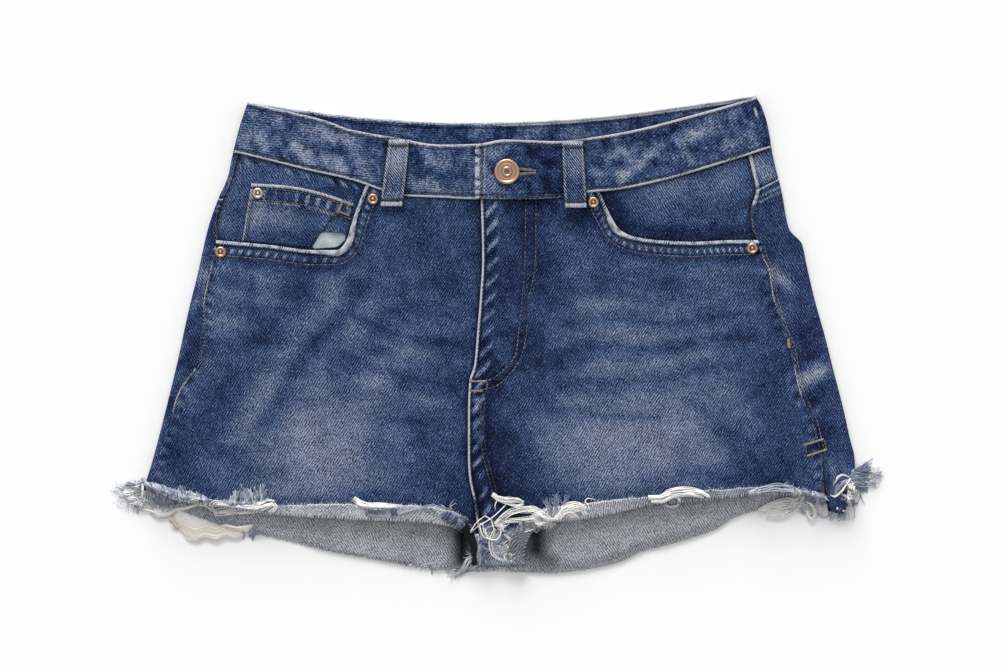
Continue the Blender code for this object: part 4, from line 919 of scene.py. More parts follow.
def back_and_yoke(side):
    """The yoke and the back panel of one side, which meet at the yoke seam and show beside the
    front's side seam and, from inside, below its hem."""
    word, hem = ("right", BACK_HEM_RIGHT) if side > 0 else ("left", BACK_HEM_LEFT)
    band = band_edge(side, FOLD_R, BAND_LOW, BACK_LOW)

    def front(y):
        """The reach of the side seam."""
        return -seam_in(side, y)

    def yoke_seam(reach, _):
        """The height of the yoke seam at a reach."""
        x = reach_x(side, np.maximum(reach, 0), YOKE_AT_SIDE, FOLD_R)
        return through(YOKE_SEAM, x) + YOKE_FALL[side] * np.clip(reach, -YOKE_FALL_END, 0)

    def over(x, y):
        """Outer height beside the side seam: a ridge along it and soft folds across."""
        edge = side * (x - side_line(side, y))
        ripple = 0.2 * rough(x, y, 9, 41) * ease((edge - 2) / 4)
        ends = ease((fold_x(side, y) * side - FOLD_R - x * side) / 3)
        return top_front(x, y) + (0.25 * bell(edge - 1.5, 1.5) + ripple) * ends

    mouth = (POCKET_RIGHT if side > 0 else POCKET_LEFT)[0][1]
    y_low = (HEM_RIGHT if side > 0 else HEM_LEFT)[0][1]
    y_band = band(front(130.0), 130.0) - SEAM
    y_yoke = yoke_seam(front(YOKE_AT_SIDE), YOKE_AT_SIDE)
    stations = mouth + (y_low - mouth) * np.linspace(0, 1, 96)
    hem_y = through(hem, front(stations[-1]))
    stations = np.concatenate([np.linspace(y_yoke, mouth, 42)[:-1], stations[:-1], [hem_y]])
    front_cells = 26 if side > 0 else 9
    middle = CENTRE_BACK + side * SEAM / 2
    yoke, yoke_reach = round_rows(
        side, front, lambda r, y: band(r, y) - SEAM, lambda r, y: yoke_seam(r, y) + SEAM / 2,
        FOLD_R, over, np.linspace(y_band, y_yoke, 30), (front_cells, 14, 70), middle)
    back, back_reach = round_rows(
        side, front, lambda r, y: yoke_seam(r, y) - SEAM / 2, lambda r, y: through(hem, r),
        FOLD_R, over, stations, (front_cells, 14, 88), middle)
    made = []
    for name, grid, reach, base in (("yoke_" + word, yoke, yoke_reach, 0.36),
                                    ("back_" + word, back, back_reach, 0.27 if side > 0 else 0.23)):
        x, y = grid[..., 0], grid[..., 1]
        outside = reach < FOLD_R * (math.pi - 1)  # the right side shows here, the wrong side beyond
        seam = yoke_seam(reach, y)
        edge = side * (x - side_line(side, y))
        rip = np.maximum((SLIT_Y - y) / 30, 0) if side > 0 else 0 * y
        fade = base + strokes(FADES_SIDE, x, y) + 0.05 * rough(x, y, 6, 43)
        wear = 0.3 * bell(edge, 0.8) * (1 + 0.3 * uneven(y, 5, 44)) * (y > -40)
        below = seam - y
        wear = np.maximum(wear, 0.52 * ease((1.7 - below) / 0.7) * (below > 0))
        if side > 0:  # the seam allowance has rubbed through to the white at the top
            rubbed = (0.66 + 0.12 * rough(y, x, 2, 48)) * ease((3.2 - edge) / 0.9)
            wear = np.maximum(wear, rubbed * ease((y - 90) / 4) * ease((edge + 0.5) / 0.5))
        fade += (0.24 * bell(below - 5.4, 1.2) + 0.2 * bell(below - 8.8, 1.2)) * (below > 0)
        fade += 0.12 * rip * outside
        gap = 3.9 * rip.clip(0, 0.75)
        # painted shade beside the side seam, at the yoke seam and between the rows below it, under
        # the waistband and in the torn slit; darker too inside the stitched box
        shade = (0.3 * bell(edge - 3.4, 1.0) + 0.75 * bell(below + 0.8, 1.0)
                 + 0.6 * bell(below - 3.4, 0.9)
                 + 0.5 * bell(below - 7.1, 0.8) + 0.4 * bell(below - 10.6, 0.8)
                 + 0.6 * bell(through(BAND_LOW, x) - y, 3.0)
                 + (0.9 * ease((gap + 0.6 - edge) / 0.9) * ease(rip / 0.1)
                    + 0.55 * in_box(x, y)) * (side > 0))
        inner = 0.68 + 0.06 * rough(x, y, 12, 45) + 0.04 * rough(x, y * 2, 4, 46)
        # painted shade in the hollows between the legs, and a painted shadow that the front's hem
        # casts on the back's wrong side
        hollow_shade = (bell(x + 24, 9) + 0.95 * bell(x - 28, 9) * ease((y + 163) / 14)
                  + 0.5 * bell(np.hypot((x - 38) / 1.8, y + 157), 5))
        hollow_shade = hollow_shade * ease((y + 167) / 10) * (y < -100)
        under = hem_line(side, x) - y
        hem_shadow = 0.09 * ease((6 - under) / 7) * (under > -4)
        fade = np.where(outside, fade, inner)
        shade = np.where(outside, shade, np.clip(hollow_shade + hem_shadow, 0, 0.985))
        raw = 0.5 * bell(y - through(hem, reach), 1.2) if name.startswith("back") else 0
        wear = np.where(outside, wear, raw)
        lean = (fold_x(side, y) - fold_x(side, 0.0)) * ease(1 - reach / 6)
        flat = np.stack([-side * reach - lean, y], axis=-1)
        made.append(cloth(name, grid, quads(*grid.shape[:2])[:, ::side], DENIM,
                          wash(fade, wear, shade), flat))
    return made


def band_end_height(x, y):
    """Outer height of the waistband's left front, which sinks under the flap."""
    return 2 * BAND_FOLD_R - 0.6 * ease((x + 45) / 25)


def flap_height(x, y):
    """Outer height of the waistband's right front, raised where it laps the left end."""
    return 2 * BAND_FOLD_R + 2.3 * (1 - ease((x - BAND_LEFT_END - 2) / 20))


def band_finish(x, y, end):
    """The relief of the front of the waistband in mm, and its fade, wear and painted shade.  end is
    the distance in from the strip's own end."""
    high = through(BAND_HIGH, x) - y
    low = y - through(BAND_LOW, x)
    dent = groove(high - BAND_ROWS[0]) * 0.9 + groove(low - BAND_ROWS[1]) * 0.9
    rope = puckers(x, low, 2.4, 17, 15, 51)
    rope_high = puckers(-x, high, 2.4, 15, 17, 53)
    cross = rough(x, y * 0.5, 8, 55)
    dent += 0.4 * rope + 0.35 * rope_high + 0.16 * cross
    fade = 0.35 + strokes(FADES_BAND, x, y) + 0.08 * rope + 0.07 * rope_high + 0.05 * cross
    wear = (0.6 + 0.1 * uneven(x, 3, 57)) * ease((2.1 - high) / 0.8)
    on_flap = ease((x + 13) / 2) * ease((64 - x) / 3)
    worn = (0.62 + 0.16 * uneven(x, 5, 58)) * (1 - 0.4 * on_flap)
    wear = np.maximum(wear, worn * ease((1.8 - 0.6 * on_flap - low) / 0.8))
    wear = np.maximum(wear, (0.42 + 0.26 * rough(x * 0.3, y, 0.9, 59)) * ease((3.8 - end) / 0.8))
    wear = np.maximum(wear, 0.42 * bell(end - 6.3, 0.7))
    dent += 0.3 * bell(end - 1.5, 2.0) + groove(end - END_ROW)
    # painted shade in the grooves of the rows of stitches and the flap's end
    shade = 0.65 * bell(high - 3.1, 0.8) + 0.65 * bell(low - 2.8, 0.8) + 0.6 * bell(end - 4.8, 0.9)
    # at the right end the strip turns down round the side: painted shade darkens it where it turns
    # away, and the pale line along the fold is wear with a painted highlight
    turned = x - through(BAND_TURN, y)
    shade += 0.42 * ease(turned / 1.2)
    wear = np.maximum(wear, 0.9 * bell(turned + 1.4, 0.8) * bell(y - 157, 3.5))
    # painted shadows beside the belt loops and round the button
    for _, x_top, x_bottom in BELT_LOOPS:
        shade += 0.4 * bell(np.maximum(np.abs(x - (x_top + x_bottom) / 2) - 7, 0), 2.2)
    hole_x, hole_y = BUTTON_AT
    button_gap = np.hypot(x - hole_x, y - hole_y) - 9
    shade += 0.36 * bell(np.maximum(button_gap, 0), 1.6)
    return dent, fade, wear, shade


def waistband():
    """The folded strip from its left end under the flap, round the back, to the flap's end."""
    halves, marks, flats = [], [], []
    for side, end_x, height in ((-1, BAND_LEFT_END, band_end_height),
                                (1, BAND_FLAP_END, flap_height)):

        def front(y):
            """The reach of the strip's end, whose upper corner is rounded on the flap."""
            corner = ease((y - 130.5) / 4.5) ** 2 * 2.2 if side > 0 else 0
            return -side * (fold_x(side, y) - end_x - corner)

        def over(x, y):
            """Outer height with the relief."""
            end = (x - end_x) * side
            dent = band_finish(x, y, end if side > 0 else end + FAR)[0]
            ends = ease((fold_x(side, y) * side - BAND_FOLD_R - x * side) / 4)
            return height(x, y) + dent * ends

        grid, reach = round_rows(
            side, front, band_edge(side, BAND_FOLD_R, BAND_HIGH, BACK_HIGH),
            band_edge(side, BAND_FOLD_R, BAND_LOW, BACK_LOW), BAND_FOLD_R, over,
            135 - 38 * spaced(38, 0.35, 0.35), (190, 12, 110))
        x, y = grid[..., 0], grid[..., 1]
        end = (x - end_x) * side if side > 0 else 0 * x + FAR
        _, fade, wear, shade = band_finish(x, y, end)
        behind = reach > 0
        top_back = through(BACK_HIGH, x) - y
        fade = np.where(behind, 0.34 + 0.13 * rough(x * 1.4, y, 6, 61), fade)
        worn = (0.6 + 0.12 * uneven(x, 2, 62)) * ease((3.1 - top_back) / 0.7)
        wear = np.where(behind, worn, wear)
        # painted shade along the back's top edge and under the front's top edge
        shade = np.where(behind, 0.8 * bell(top_back - 3.9, 0.9) + 0.75 * bell(top_back - 1.5, 0.5)
                         + 0.35 * bell(y - through(BAND_HIGH, x), 2.4), shade)
        halves.append(grid)
        marks.append(wash(fade, wear, shade).reshape(*grid.shape[:2], 4))
        lie = (-y, -reach)
        if side < 0:  # the strip's weave lies another way on this half
            turn = 0.6
            lie = (y * math.cos(turn) + reach * math.sin(turn),
                   reach * math.cos(turn) - y * math.sin(turn))
        flats.append(np.stack(lie, axis=-1))

    def join(parts):
        """The two halves as one strip, which share the column at the centre back."""
        return np.concatenate([parts[0], parts[1][:, ::-1][:, 1:]], axis=1)

    strip, colours = join(halves), join(marks)
    rows, columns = strip.shape[:2]
    faces = quads(rows, columns)[:, ::-1]
    middle_column = halves[0].shape[1] - 1
    on_right = (faces % columns).min(axis=1) >= middle_column
    right_flat = np.concatenate([flats[0][:, :-1], flats[1][:, ::-1]], axis=1).reshape(-1, 2)
    flat = np.where(on_right[:, None, None], right_flat[faces], join(flats).reshape(-1, 2)[faces])
    middle = strip.reshape(-1, 3)[faces].mean(axis=1)
    hole_x, hole_y = BUTTON_AT
    in_eye = np.hypot(middle[:, 0] - hole_x, middle[:, 1] - hole_y) < HOLE_EYE
    in_slot = ((middle[:, 0] > hole_x) & (middle[:, 0] < HOLE_END)
               & (np.abs(middle[:, 1] - hole_y) < HOLE_SLOT / 2))
    keep = ~((in_eye | in_slot) & (middle[:, 2] > 2 * BAND_FOLD_R + 0.8))
    faces, flat = faces[keep], flat[keep]
    return cloth("waistband", strip, faces, BAND, colours.reshape(-1, 4), flat,
                 materials=(BAND_SIDE,))


# -------- pockets and loops
def facing_height(x, y, side):
    """Outer height of a facing, which rises away from the pocket mouth."""
    gap, _ = near(MOUTHS[side], x, y)
    rise = ease((np.maximum(-gap * side, 0) - 14) / 20)
    return top_front(x, y) - DENIM - SEAM + (DENIM + SEAM - 0.5) * rise * 0.9


def facing(side):
    """The facing under a pocket mouth, lower at the mouth than at the side seam and waistband."""
    word = "left" if side < 0 else "right"
    mouth = POCKET_LEFT if side < 0 else POCKET_RIGHT
    columns, rows, tuck = 116, 40, 3 * SEAM
    low = beside(path(mouth, np.linspace(0, 1, columns + 1)), side * FACING_TUCK)
    x_side = fold_x(side, 128.0) - side * (seam_in(side, 128.0) + tuck)
    high_x = np.linspace(x_side, mouth[-1][0] - side * 3, columns + 1)
    high = np.column_stack([high_x, through(BAND_LOW, high_x) - SEAM])
    low[-1] = high[-1] - (0, 5.0)
    down = np.linspace(0, 1, rows + 1)
    y_left = high[0, 1] + (low[0, 1] - high[0, 1]) * down
    left = np.column_stack([fold_x(side, y_left) - side * (seam_in(side, y_left) + tuck), y_left])
    high[0], low[0] = left[0], left[-1]
    right = high[-1] + (low[-1] - high[-1]) * down[:, None]
    flat = patch(high, low, left, right, np.linspace(0, 1, columns + 1), down)
    x, y = flat[..., 0], flat[..., 1]
    band = through(BAND_LOW, x) - y
    depth = -near(MOUTHS[side], x, y)[0] * side
    edge = side * (side_line(side, y) - x)
    dent = 0.12 * rough(x, y, 9, 63) * ease((depth - 5) / 6)
    fade = (0.39 if side < 0 else 0.34) + 0.06 * rough(x, y, 8, 64)
    if side < 0:
        fade += (0.4 * rough(x + 0.8 * y, 0 * x, 1.0, 65) + 0.08) * bell(band - 4, 2.0)
        fade -= 0.15 * bell(np.hypot((x + 112) / 1.8, y - 103), 9)
    else:
        fade += 0.1 * bell(np.hypot((x - 134) / 3, y - 104), 12)
    fade -= 0.22 * ease((17 - depth) / 12) if side > 0 else 0.1 * ease((10 - depth) / 8)
    # painted shade along the waistband's seam, at the mouth under the front's edge and beside the
    # side seam
    shade = 0.5 * bell(band, 1.8) + 0.6 * ease((3.6 - depth) / 4) + 0.45 * bell(edge - 1, 1.8)
    z = facing_height(x, y, side) + dent
    return cloth("facing_" + word, np.stack([x, y, z], axis=-1),
                 quads(rows + 1, columns + 1)[:, ::-side], FACING, wash(fade, 0, shade),
                 np.stack([-x, y], axis=-1))


def laid_on_facing(name, high, low, columns, rows, finish, **look):
    """A small piece of cloth on the left facing, made from the facing's own height."""
    across, v = np.linspace(0, 1, columns + 1), spaced(rows, 0.4, 0.4)
    down = v[:, None, None]
    flat = path(high, across)[None] * (1 - down) + path(low, across)[None] * down
    x, y = flat[..., 0], flat[..., 1]
    u, v = np.broadcast_arrays(across[None, :], v[:, None])
    dent, fade, wear, shade = finish(x, y, u, v)
    z = facing_height(x, y, -1) + (SEAM + FACING) + dent
    return cloth(name, np.stack([x, y, z], axis=-1), quads(rows + 1, columns + 1), FACING,
                 wash(fade, wear, shade), np.stack([-x, y], axis=-1), **look)


COIN_ROWS = (3.3, 11.6)  # distance of the rows of stitches below the coin pocket's top


def coin_finish(x, y, u, v):
    """A stitched hem along the coin pocket's top, worn top and left edges, and soft fading."""
    depth = through(COIN_TOP, x) - y
    left = x - through([(y_, x_) for x_, y_ in (COIN_TOP[0], COIN_BOTTOM[0])], y)
    below = ease((depth - COIN_ROWS[1]) / 1.5)
    dent = sum(groove(depth - row) for row in COIN_ROWS) + groove(left - 2.2) * below
    dent += 0.3 * bell(depth - 1.2, 1.2)
    ripple = puckers(x, depth, *COIN_ROWS, 7.4, 71, 0.2)
    dent += 0.3 * ripple
    fade = 0.34 + 0.36 * ease(ripple * 1.3) + 0.05 * rough(x, y, 7, 73)
    fade += 0.16 * bell(depth - 22, 9) * below
    fade -= 0.12 * bell(depth - 40, 9) + 0.05 * bell(depth - 7.5, 3)
    fade += 0.1 * bell(left - 8, 5) * below - 0.1 * bell(x + 128, 10) * below
    wear = (0.52 + 0.1 * uneven(x, 2, 74)) * ease((2.6 - depth) / 0.8)
    wear = np.maximum(wear, 0.46 * ease((1.7 - left) / 0.9) * below)
    wear = np.maximum(wear, 0.42 * ease((2.6 - left) / 1.0) * (1 - below))
    wear = np.maximum(wear, 0.36 * bell(depth - 12.7, 1.0) * (1 + 0.6 * uneven(x, 1.6, 75)))
    # painted shade in the grooves of the rows and along the left edge
    shade = 0.75 * bell(depth - COIN_ROWS[0], 0.8) + 0.5 * bell(depth - COIN_ROWS[1], 0.8)
    shade += 0.4 * bell(left - 2.4, 0.7) * below
    # painted shade near the pocket mouth
    depth_in = near(MOUTHS[-1], x, y)[0]
    shade += 0.55 * ease((3.0 - depth_in) / 3.5)
    # the cloth folds under at its right end, where the pocket gapes; painted shade darkens the fold
    # and the bottom edge
    tuck = ease((x + 116 + (y - 84) * 0.1) / 4) * ease((94.5 - 0.25 * (x + 105) - y) / 2)
    shade += 0.45 * tuck + 0.35 * bell((1 - v) * (x > -131) + 9 * (x <= -131), 0.1)
    return dent, fade, wear, shade


def bag_finish(x, y, u, v):
    """Plain pocketing that bulges softly out of the gaping mouth, with a painted highlight down its
    bulge, a painted darker stripe beside it and painted shade along its top and sides.
    """
    dent = 0.35 * np.sin(math.pi * u) * np.sin(math.pi * v) + 0.12 * rough(x, y, 2.4, 77)
    pale = 0.5 + 0.2 * bell(u - 0.45 - 0.2 * v, 0.16) - 0.12 * bell(u - 0.75, 0.1)
    pale += 0.08 * rough(x, y, 3, 78)
    return dent, pale, 0 * u, 0.5 * bell(v, 0.3) + 0.4 * bell(u - 1, 0.2) + 0.25 * bell(u, 0.12)


def band_height(x, y):
    """Outer height of the waistband's front, flap and all."""
    return np.where(x < BAND_FLAP_END, band_end_height(x, y), flap_height(x, y))


def belt_loop(name, x_top, x_bottom):
    """A strip sewn over the waistband, bowed off it between its two bar-tacked ends."""
    rows, columns, width = 96, 22, LOOP_WIDTH
    down = np.linspace(0, 1, rows + 1)
    x_mid = x_top + (x_bottom - x_top) * down
    y_top = through(BAND_HIGH, x_top) - 1.0
    y_bottom = through(BAND_LOW, x_bottom) - LOOP_TAIL
    y_mid = y_top + (y_bottom - y_top) * down
    below = y_mid < through(BAND_LOW, x_mid)
    across = np.linspace(-0.5, 0.5, columns + 1)[None, :]
    x = x_mid[:, None] + across * width * (1 + 0.05 * uneven(y_mid, 9, 81))[:, None]
    y = y_mid[:, None] + 0 * x
    base = np.where(below[:, None], top_front(x, y) + 0.5, band_height(x, y))
    length = y_top - y_bottom
    side = (0.5 - np.abs(across)) * width + 0 * x
    from_top, from_bottom = down[:, None] * length + 0 * x, (1 - down[:, None]) * length + 0 * x
    dent = 0.3 * bell(side - 2.4, 1.6) - 0.35 * bell(side, 0.9)
    dent += 0.35 * bell(from_bottom - 1.5, 1.6)
    dent += 0.3 * bell(from_top - 2.0, 2.0) - 0.3 * bell(from_bottom - 4.2, 1.0)
    z = base + LOOP + through(LOOP_PROFILE, down)[:, None] + dent
    fade = (0.54 if x_top < 0 else 0.42) + 0.06 * rough(x, y, 6, 83)
    fade += 0.08 * bell(from_top - 12, 12)
    fade = fade - 0.14 * bell(from_bottom - 14, 8)
    wear = np.maximum(0.38 * bell(side - 0.9, 0.9), 0.62 * ease((3.4 - from_bottom) / 0.8))
    wear = np.maximum(wear, 0.5 * ease((3.0 - from_top) / 1.0))
    # painted shade: dark lines along the loop's edges, in the grooves beside them and at its
    # bar-tacked ends
    shade = 0.7 * bell(side, 0.5) + 0.4 * bell(side - 2.9, 0.7) + 0.8 * bell(from_bottom - 4.4, 0.9)
    shade += 0.7 * bell(from_top - 4.2, 1.0)
    return cloth(name, np.stack([x, y, z], axis=-1), quads(rows + 1, columns + 1), LOOP,
                 wash(fade, wear, shade), np.stack([-x, y], axis=-1), materials=(LOOP_SIDE,))


# -------- stitches
def stitch_rows(name, rows):
    """Rows of stitches as short plump bars, each lying along its line with its ends sunk in the
    cloth.  A row is a polyline, the height of the cloth over a place, and the tint."""
    chance = np.random.default_rng(5)
    profile = np.array([  # place along the stitch, radius, height
        (-0.5, 0.25, -0.35), (-0.3, 0.85, 0.25), (0.3, 0.85, 0.25), (0.5, 0.25, -0.35)])
    ring = np.array([(math.cos(a), math.sin(a)) for a in np.linspace(0, 2 * math.pi, 7)[:-1]])
    along = np.repeat(profile[:, 0], 6)
    across = (profile[:, 1][:, None] * ring[:, 0]).ravel()
    up = (profile[:, 1][:, None] * ring[:, 1] + profile[:, 2][:, None]).ravel()
    cell = np.arange(6)
    beyond = (cell + 1) % 6
    tube = [np.stack([cell, beyond, beyond + 6, cell + 6], axis=-1) + 6 * k for k in range(3)]
    caps = [np.array([(3, 2, 1, 0), (0, 5, 4, 3)]), np.array([(0, 1, 2, 3), (3, 4, 5, 0)]) + 18]
    template = np.concatenate(tube + caps)
    points, tints = [], []
    for line, height, tint in rows:
        line = np.asarray(line, dtype=float)
        length = run_lengths(line)[-1]
        count = max(int(length / STITCH), 1)
        middle = (np.arange(count) + 0.5) * length / count
        ends = [at_length(line, middle + shift) for shift in (-STITCH * 0.42, STITCH * 0.42)]
        centre, run = (ends[0] + ends[1]) / 2, ends[1] - ends[0]
        long = np.hypot(*run.T)
        run = run / np.maximum(long, 0.1)[:, None]
        turn = chance.normal(0, 0.06, count)
        run = np.column_stack([run[:, 0] - run[:, 1] * turn, run[:, 1] + run[:, 0] * turn])
        side = np.column_stack([-run[:, 1], run[:, 0]])
        half = THREAD / 2
        flat = (centre[:, None] + run[:, None] * (along * np.maximum(long, 1.6)[:, None])[..., None]
                + side[:, None] * (across * half)[None, :, None])
        z = height(centre[:, 0], centre[:, 1])[:, None] + half * (up + 0.35)[None]
        points.append(np.concatenate([flat, z[..., None]], axis=-1).reshape(-1, 3))
        tints.append(np.repeat(np.clip(tint + chance.normal(0, 0.12, count), 0, 1), 24))
    points = np.concatenate(points)
    total = len(points) // 24
    faces = (template[None] + 24 * np.arange(total)[:, None, None]).reshape(-1, 4)
    return piece(name, points, faces, (TOPSTITCH,), {"tint": np.concatenate(tints)})


def on_front(side):
    """The finished height of a front panel."""
    height = top_left if side < 0 else top_right
    return lambda x, y: height(x, y) + front_finish(side, x, y)[0]


def on_band(x, y):
    """The finished height of the waistband's front."""
    flap = x > BAND_FLAP_END
    dent = band_finish(x, y, np.where(flap, x - BAND_FLAP_END, FAR))[0]
    return band_height(x, y) + dent


def above(height, rise):
    """The given height raised by some mm."""
    return lambda x, y: height(x, y) + rise


def coin_height(x, y):
    """Outer height of the coin pocket's stitched rows."""
    return facing_height(x, y, -1) + SEAM + FACING + 0.1


def between(line, first, last):
    """The part of a polyline between two fractions of its length."""
    line = np.asarray(line, dtype=float)
    return at_length(line, np.linspace(first, last, 60) * run_lengths(line)[-1])


def bar_tack(at, angle, length, width, height, tint):
    """A bar tack: stitches side by side along a short bar, each lying across it."""
    angle = math.radians(angle)
    run = np.array([math.cos(angle), math.sin(angle)])
    out = np.array([-math.sin(angle), math.cos(angle)]) * width / 2
    return [(np.array([at + run * place - out, at + run * (place + 0.25) + out]), height, tint)
            for place in np.arange(-length / 2, length / 2, 0.6)]


def all_stitches():
    """Every visible row: pockets, fly, centre seam, side seams, waistband, coin pocket, loops."""
    rows = []
    for side in (-1, 1):
        for distance, tint in zip(POCKET_ROWS, (0.3, 0.55)):
            line = between(beside(MOUTHS[side], distance * side), 0.02, 0.97)
            rows.append((line, on_front(side), tint))
    right = on_front(1)
    for first, last, tint in ((0, 0.62, 0.42), (0.62, 1, 0.66)):
        rows += [(between(line, first, last), right, tint) for line in (J_OUTER, J_INNER)]
    rows += [(CENTRE_SEAM, right, 0.3), (beside(CENTRE_SEAM, CENTRE_ROW), right, 0.2)]
    flap_x = np.linspace(BAND_FLAP_END + END_ROW, 183, 150)
    left_x = np.linspace(-174, BAND_FLAP_END - 3, 150)
    for x in (flap_x, left_x):
        high = through(BAND_HIGH, x) - BAND_ROWS[0]
        low = through(BAND_LOW, x) + BAND_ROWS[1]
        rows += [(np.column_stack([x, high]), on_band, 0.3),
                 (np.column_stack([x, low]), on_band, 0.32)]
    end_y = np.linspace(99, 132, 20)
    rows.append((np.column_stack([np.full(20, BAND_FLAP_END + END_ROW), end_y]), on_band, 0.3))
    y = np.linspace(64, -86, 60)
    beside_seam = side_line(1, y) + 2.4
    rows.append((np.column_stack([beside_seam, y]), above(top_front, 0.3), 0.55))
    for tacks, height in ((FLY_TACKS, right), (SIDE_TACKS, above(top_front, 0.35))):
        for at, angle, length, width, tint in tacks:
            rows += bar_tack(at, angle, length, width, height, tint)
    for _, x_top, x_bottom in BELT_LOOPS:
        y_tail = through(BAND_LOW, x_bottom) - LOOP_TAIL + 4.4
        rows += bar_tack((x_bottom, y_tail), 0, 12.5, 0.9, above(top_front, LOOP + 1.1), 0.12)
        y_head = through(BAND_HIGH, x_top) - 5.2
        rows += bar_tack((x_top, y_head), 0, 9.5, 1.1, above(band_height, LOOP + 1.3), 0.2)
    top = path(COIN_TOP, np.linspace(0.02, 0.98, 40))
    rows += [(top - (0, row), coin_height, 0.5) for row in COIN_ROWS]
    left_edge = path([COIN_TOP[0], COIN_BOTTOM[0]], np.linspace(0.28, 0.98, 20))
    rows.append((left_edge + (2.2, 0), coin_height, 0.55))
    for at, angle, length in COIN_TACKS:
        rows += bar_tack(at, angle, length, 0.8, coin_height, 0.7)
    return stitch_rows("topstitching", rows)


def buttonhole_stitches():
    """The buttonhole's edge: close stitches square to the slot, wide at the eye and narrowing to
    a point."""
    hole_x, hole_y = BUTTON_AT
    rows = []
    for x in np.arange(hole_x + 4.0, HOLE_END + 1.6, 0.55):
        half = np.interp(x, [hole_x + 4, HOLE_END + 1.6], [4.4, 1.3])
        for sign in (-1, 1):
            rows.append((np.array([(x, hole_y + sign * 0.12), (x + 0.3, hole_y + sign * half)]),
                         on_band, 0.6))
    for angle in np.linspace(0.5, 2 * math.pi - 0.5, 30):
        out = np.array([math.cos(angle), math.sin(angle)])
        rows.append((np.array([BUTTON_AT + out * 3.2, BUTTON_AT + out * 5.6]), on_band, 0.8))
    return stitch_rows("buttonhole_stitching", rows)


# -------- metal
def lathe(name, profile, at, made, steps):
    """A turned piece: its profile (radius, height, dirt and painted shade) carried round a vertical
    axis.
    """
    rows = np.array(profile, dtype=float)
    turn = np.linspace(0, 2 * math.pi, steps, endpoint=False)
    radius, height, dirt_and_shade = rows[1:-1, 0], rows[1:-1, 1], rows[1:-1, 2]
    x = radius[:, None] * np.cos(turn) + at[0]
    y = radius[:, None] * np.sin(turn) + at[1]
    z = height[:, None] + 0 * x + at[2]
    ring = np.stack([x, y, z], axis=-1).reshape(-1, 3)
    poles = np.array([(at[0], at[1], at[2] + rows[0, 1]), (at[0], at[1], at[2] + rows[-1, 1])])
    count = len(radius)
    i, j = np.meshgrid(np.arange(count - 1), np.arange(steps), indexing="ij")
    k = (j + 1) % steps
    sides = np.stack([i * steps + j, (i + 1) * steps + j, (i + 1) * steps + k, i * steps + k],
                     axis=-1).reshape(-1, 4)
    spin = np.arange(steps)
    last = (count - 1) * steps
    tris = np.concatenate([
        sides[:, [0, 1, 2]], sides[:, [0, 2, 3]],
        np.stack([spin, (spin + 1) % steps, np.full(steps, len(ring))], axis=-1),
        np.stack([last + (spin + 1) % steps, last + spin, np.full(steps, len(ring) + 1)], axis=-1)])
    marks = np.concatenate([np.repeat(dirt_and_shade, steps), rows[[0, -1], 2]])
    colours = np.stack([0 * marks, 0 * marks, marks, 0 * marks + 1], axis=-1)
    return piece(name + "_metal", np.concatenate([ring, poles]), tris, (made,),
                 {"wash": colours}, None, (name,))


def button():
    """A ringed cap on a shank that passes through the buttonhole."""
    x, y = BUTTON_AT
    flap = float(flap_height(np.array(x), 0))
    low = float(band_end_height(np.array(x), 0)) - flap
    profile = [  # radius, height, dirt in the grooves and painted shade underneath
        (0, 1.65, 0.6), (0.9, 1.62, 0.55), (1.5, 1.75, 0.7), (1.9, 1.6, 0.5), (2.3, 2.2, 0),
        (2.9, 2.3, 0), (3.3, 2.15, 0.1), (3.6, 1.55, 0.65), (3.9, 1.5, 0.5), (4.4, 1.62, 0.1),
        (5.4, 1.72, 0.05), (5.9, 1.7, 0.1), (6.15, 1.45, 0.55), (6.45, 1.6, 0.2), (7.1, 2.25, 0),
        (7.9, 2.45, 0), (8.5, 2.2, 0), (8.9, 1.5, 0.1), (8.95, 0.9, 0.3), (8.6, 0.4, 0.6),
        (8.0, 0.1, 0.7), (2.4, 0.1, 0.8), (2.4, low, 0.8), (0, low, 0.8)]
    return lathe("button", profile, (x, y, flap + SEAM), COPPER, 96)


RIVETS = [  # name, x, y, metal
    ("rivet_left_band", -86.5, 96.5, COPPER), ("rivet_coin", -167, 100.5, NICKEL),
    ("rivet_left_side", -193.2, 59.5, COPPER), ("rivet_right_band", 67.8, 94.2, COPPER),
    ("rivet_right_side", 179, 62, COPPER)]


def rivets():
    """Domed rivets: a rolled rim, a dark groove and a small bright burr in the middle."""
    profile = [  # radius, height, dirt in the groove and painted shade at the foot
        (0, 1.15, 0.0), (0.5, 1.1, 0.0), (0.9, 0.85, 0.25), (1.15, 0.4, 0.85), (1.7, 0.35, 0.8),
        (2.1, 0.75, 0.3), (2.5, 1.05, 0.0), (3.0, 1.1, 0.0), (3.5, 0.85, 0.05), (3.8, 0.4, 0.3),
        (3.85, 0.0, 0.6), (0, 0.0, 0.8)]
    for name, x, y, metal in RIVETS:
        lathe(name, profile, (x, y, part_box(name)[0].z / MM), metal, 48)


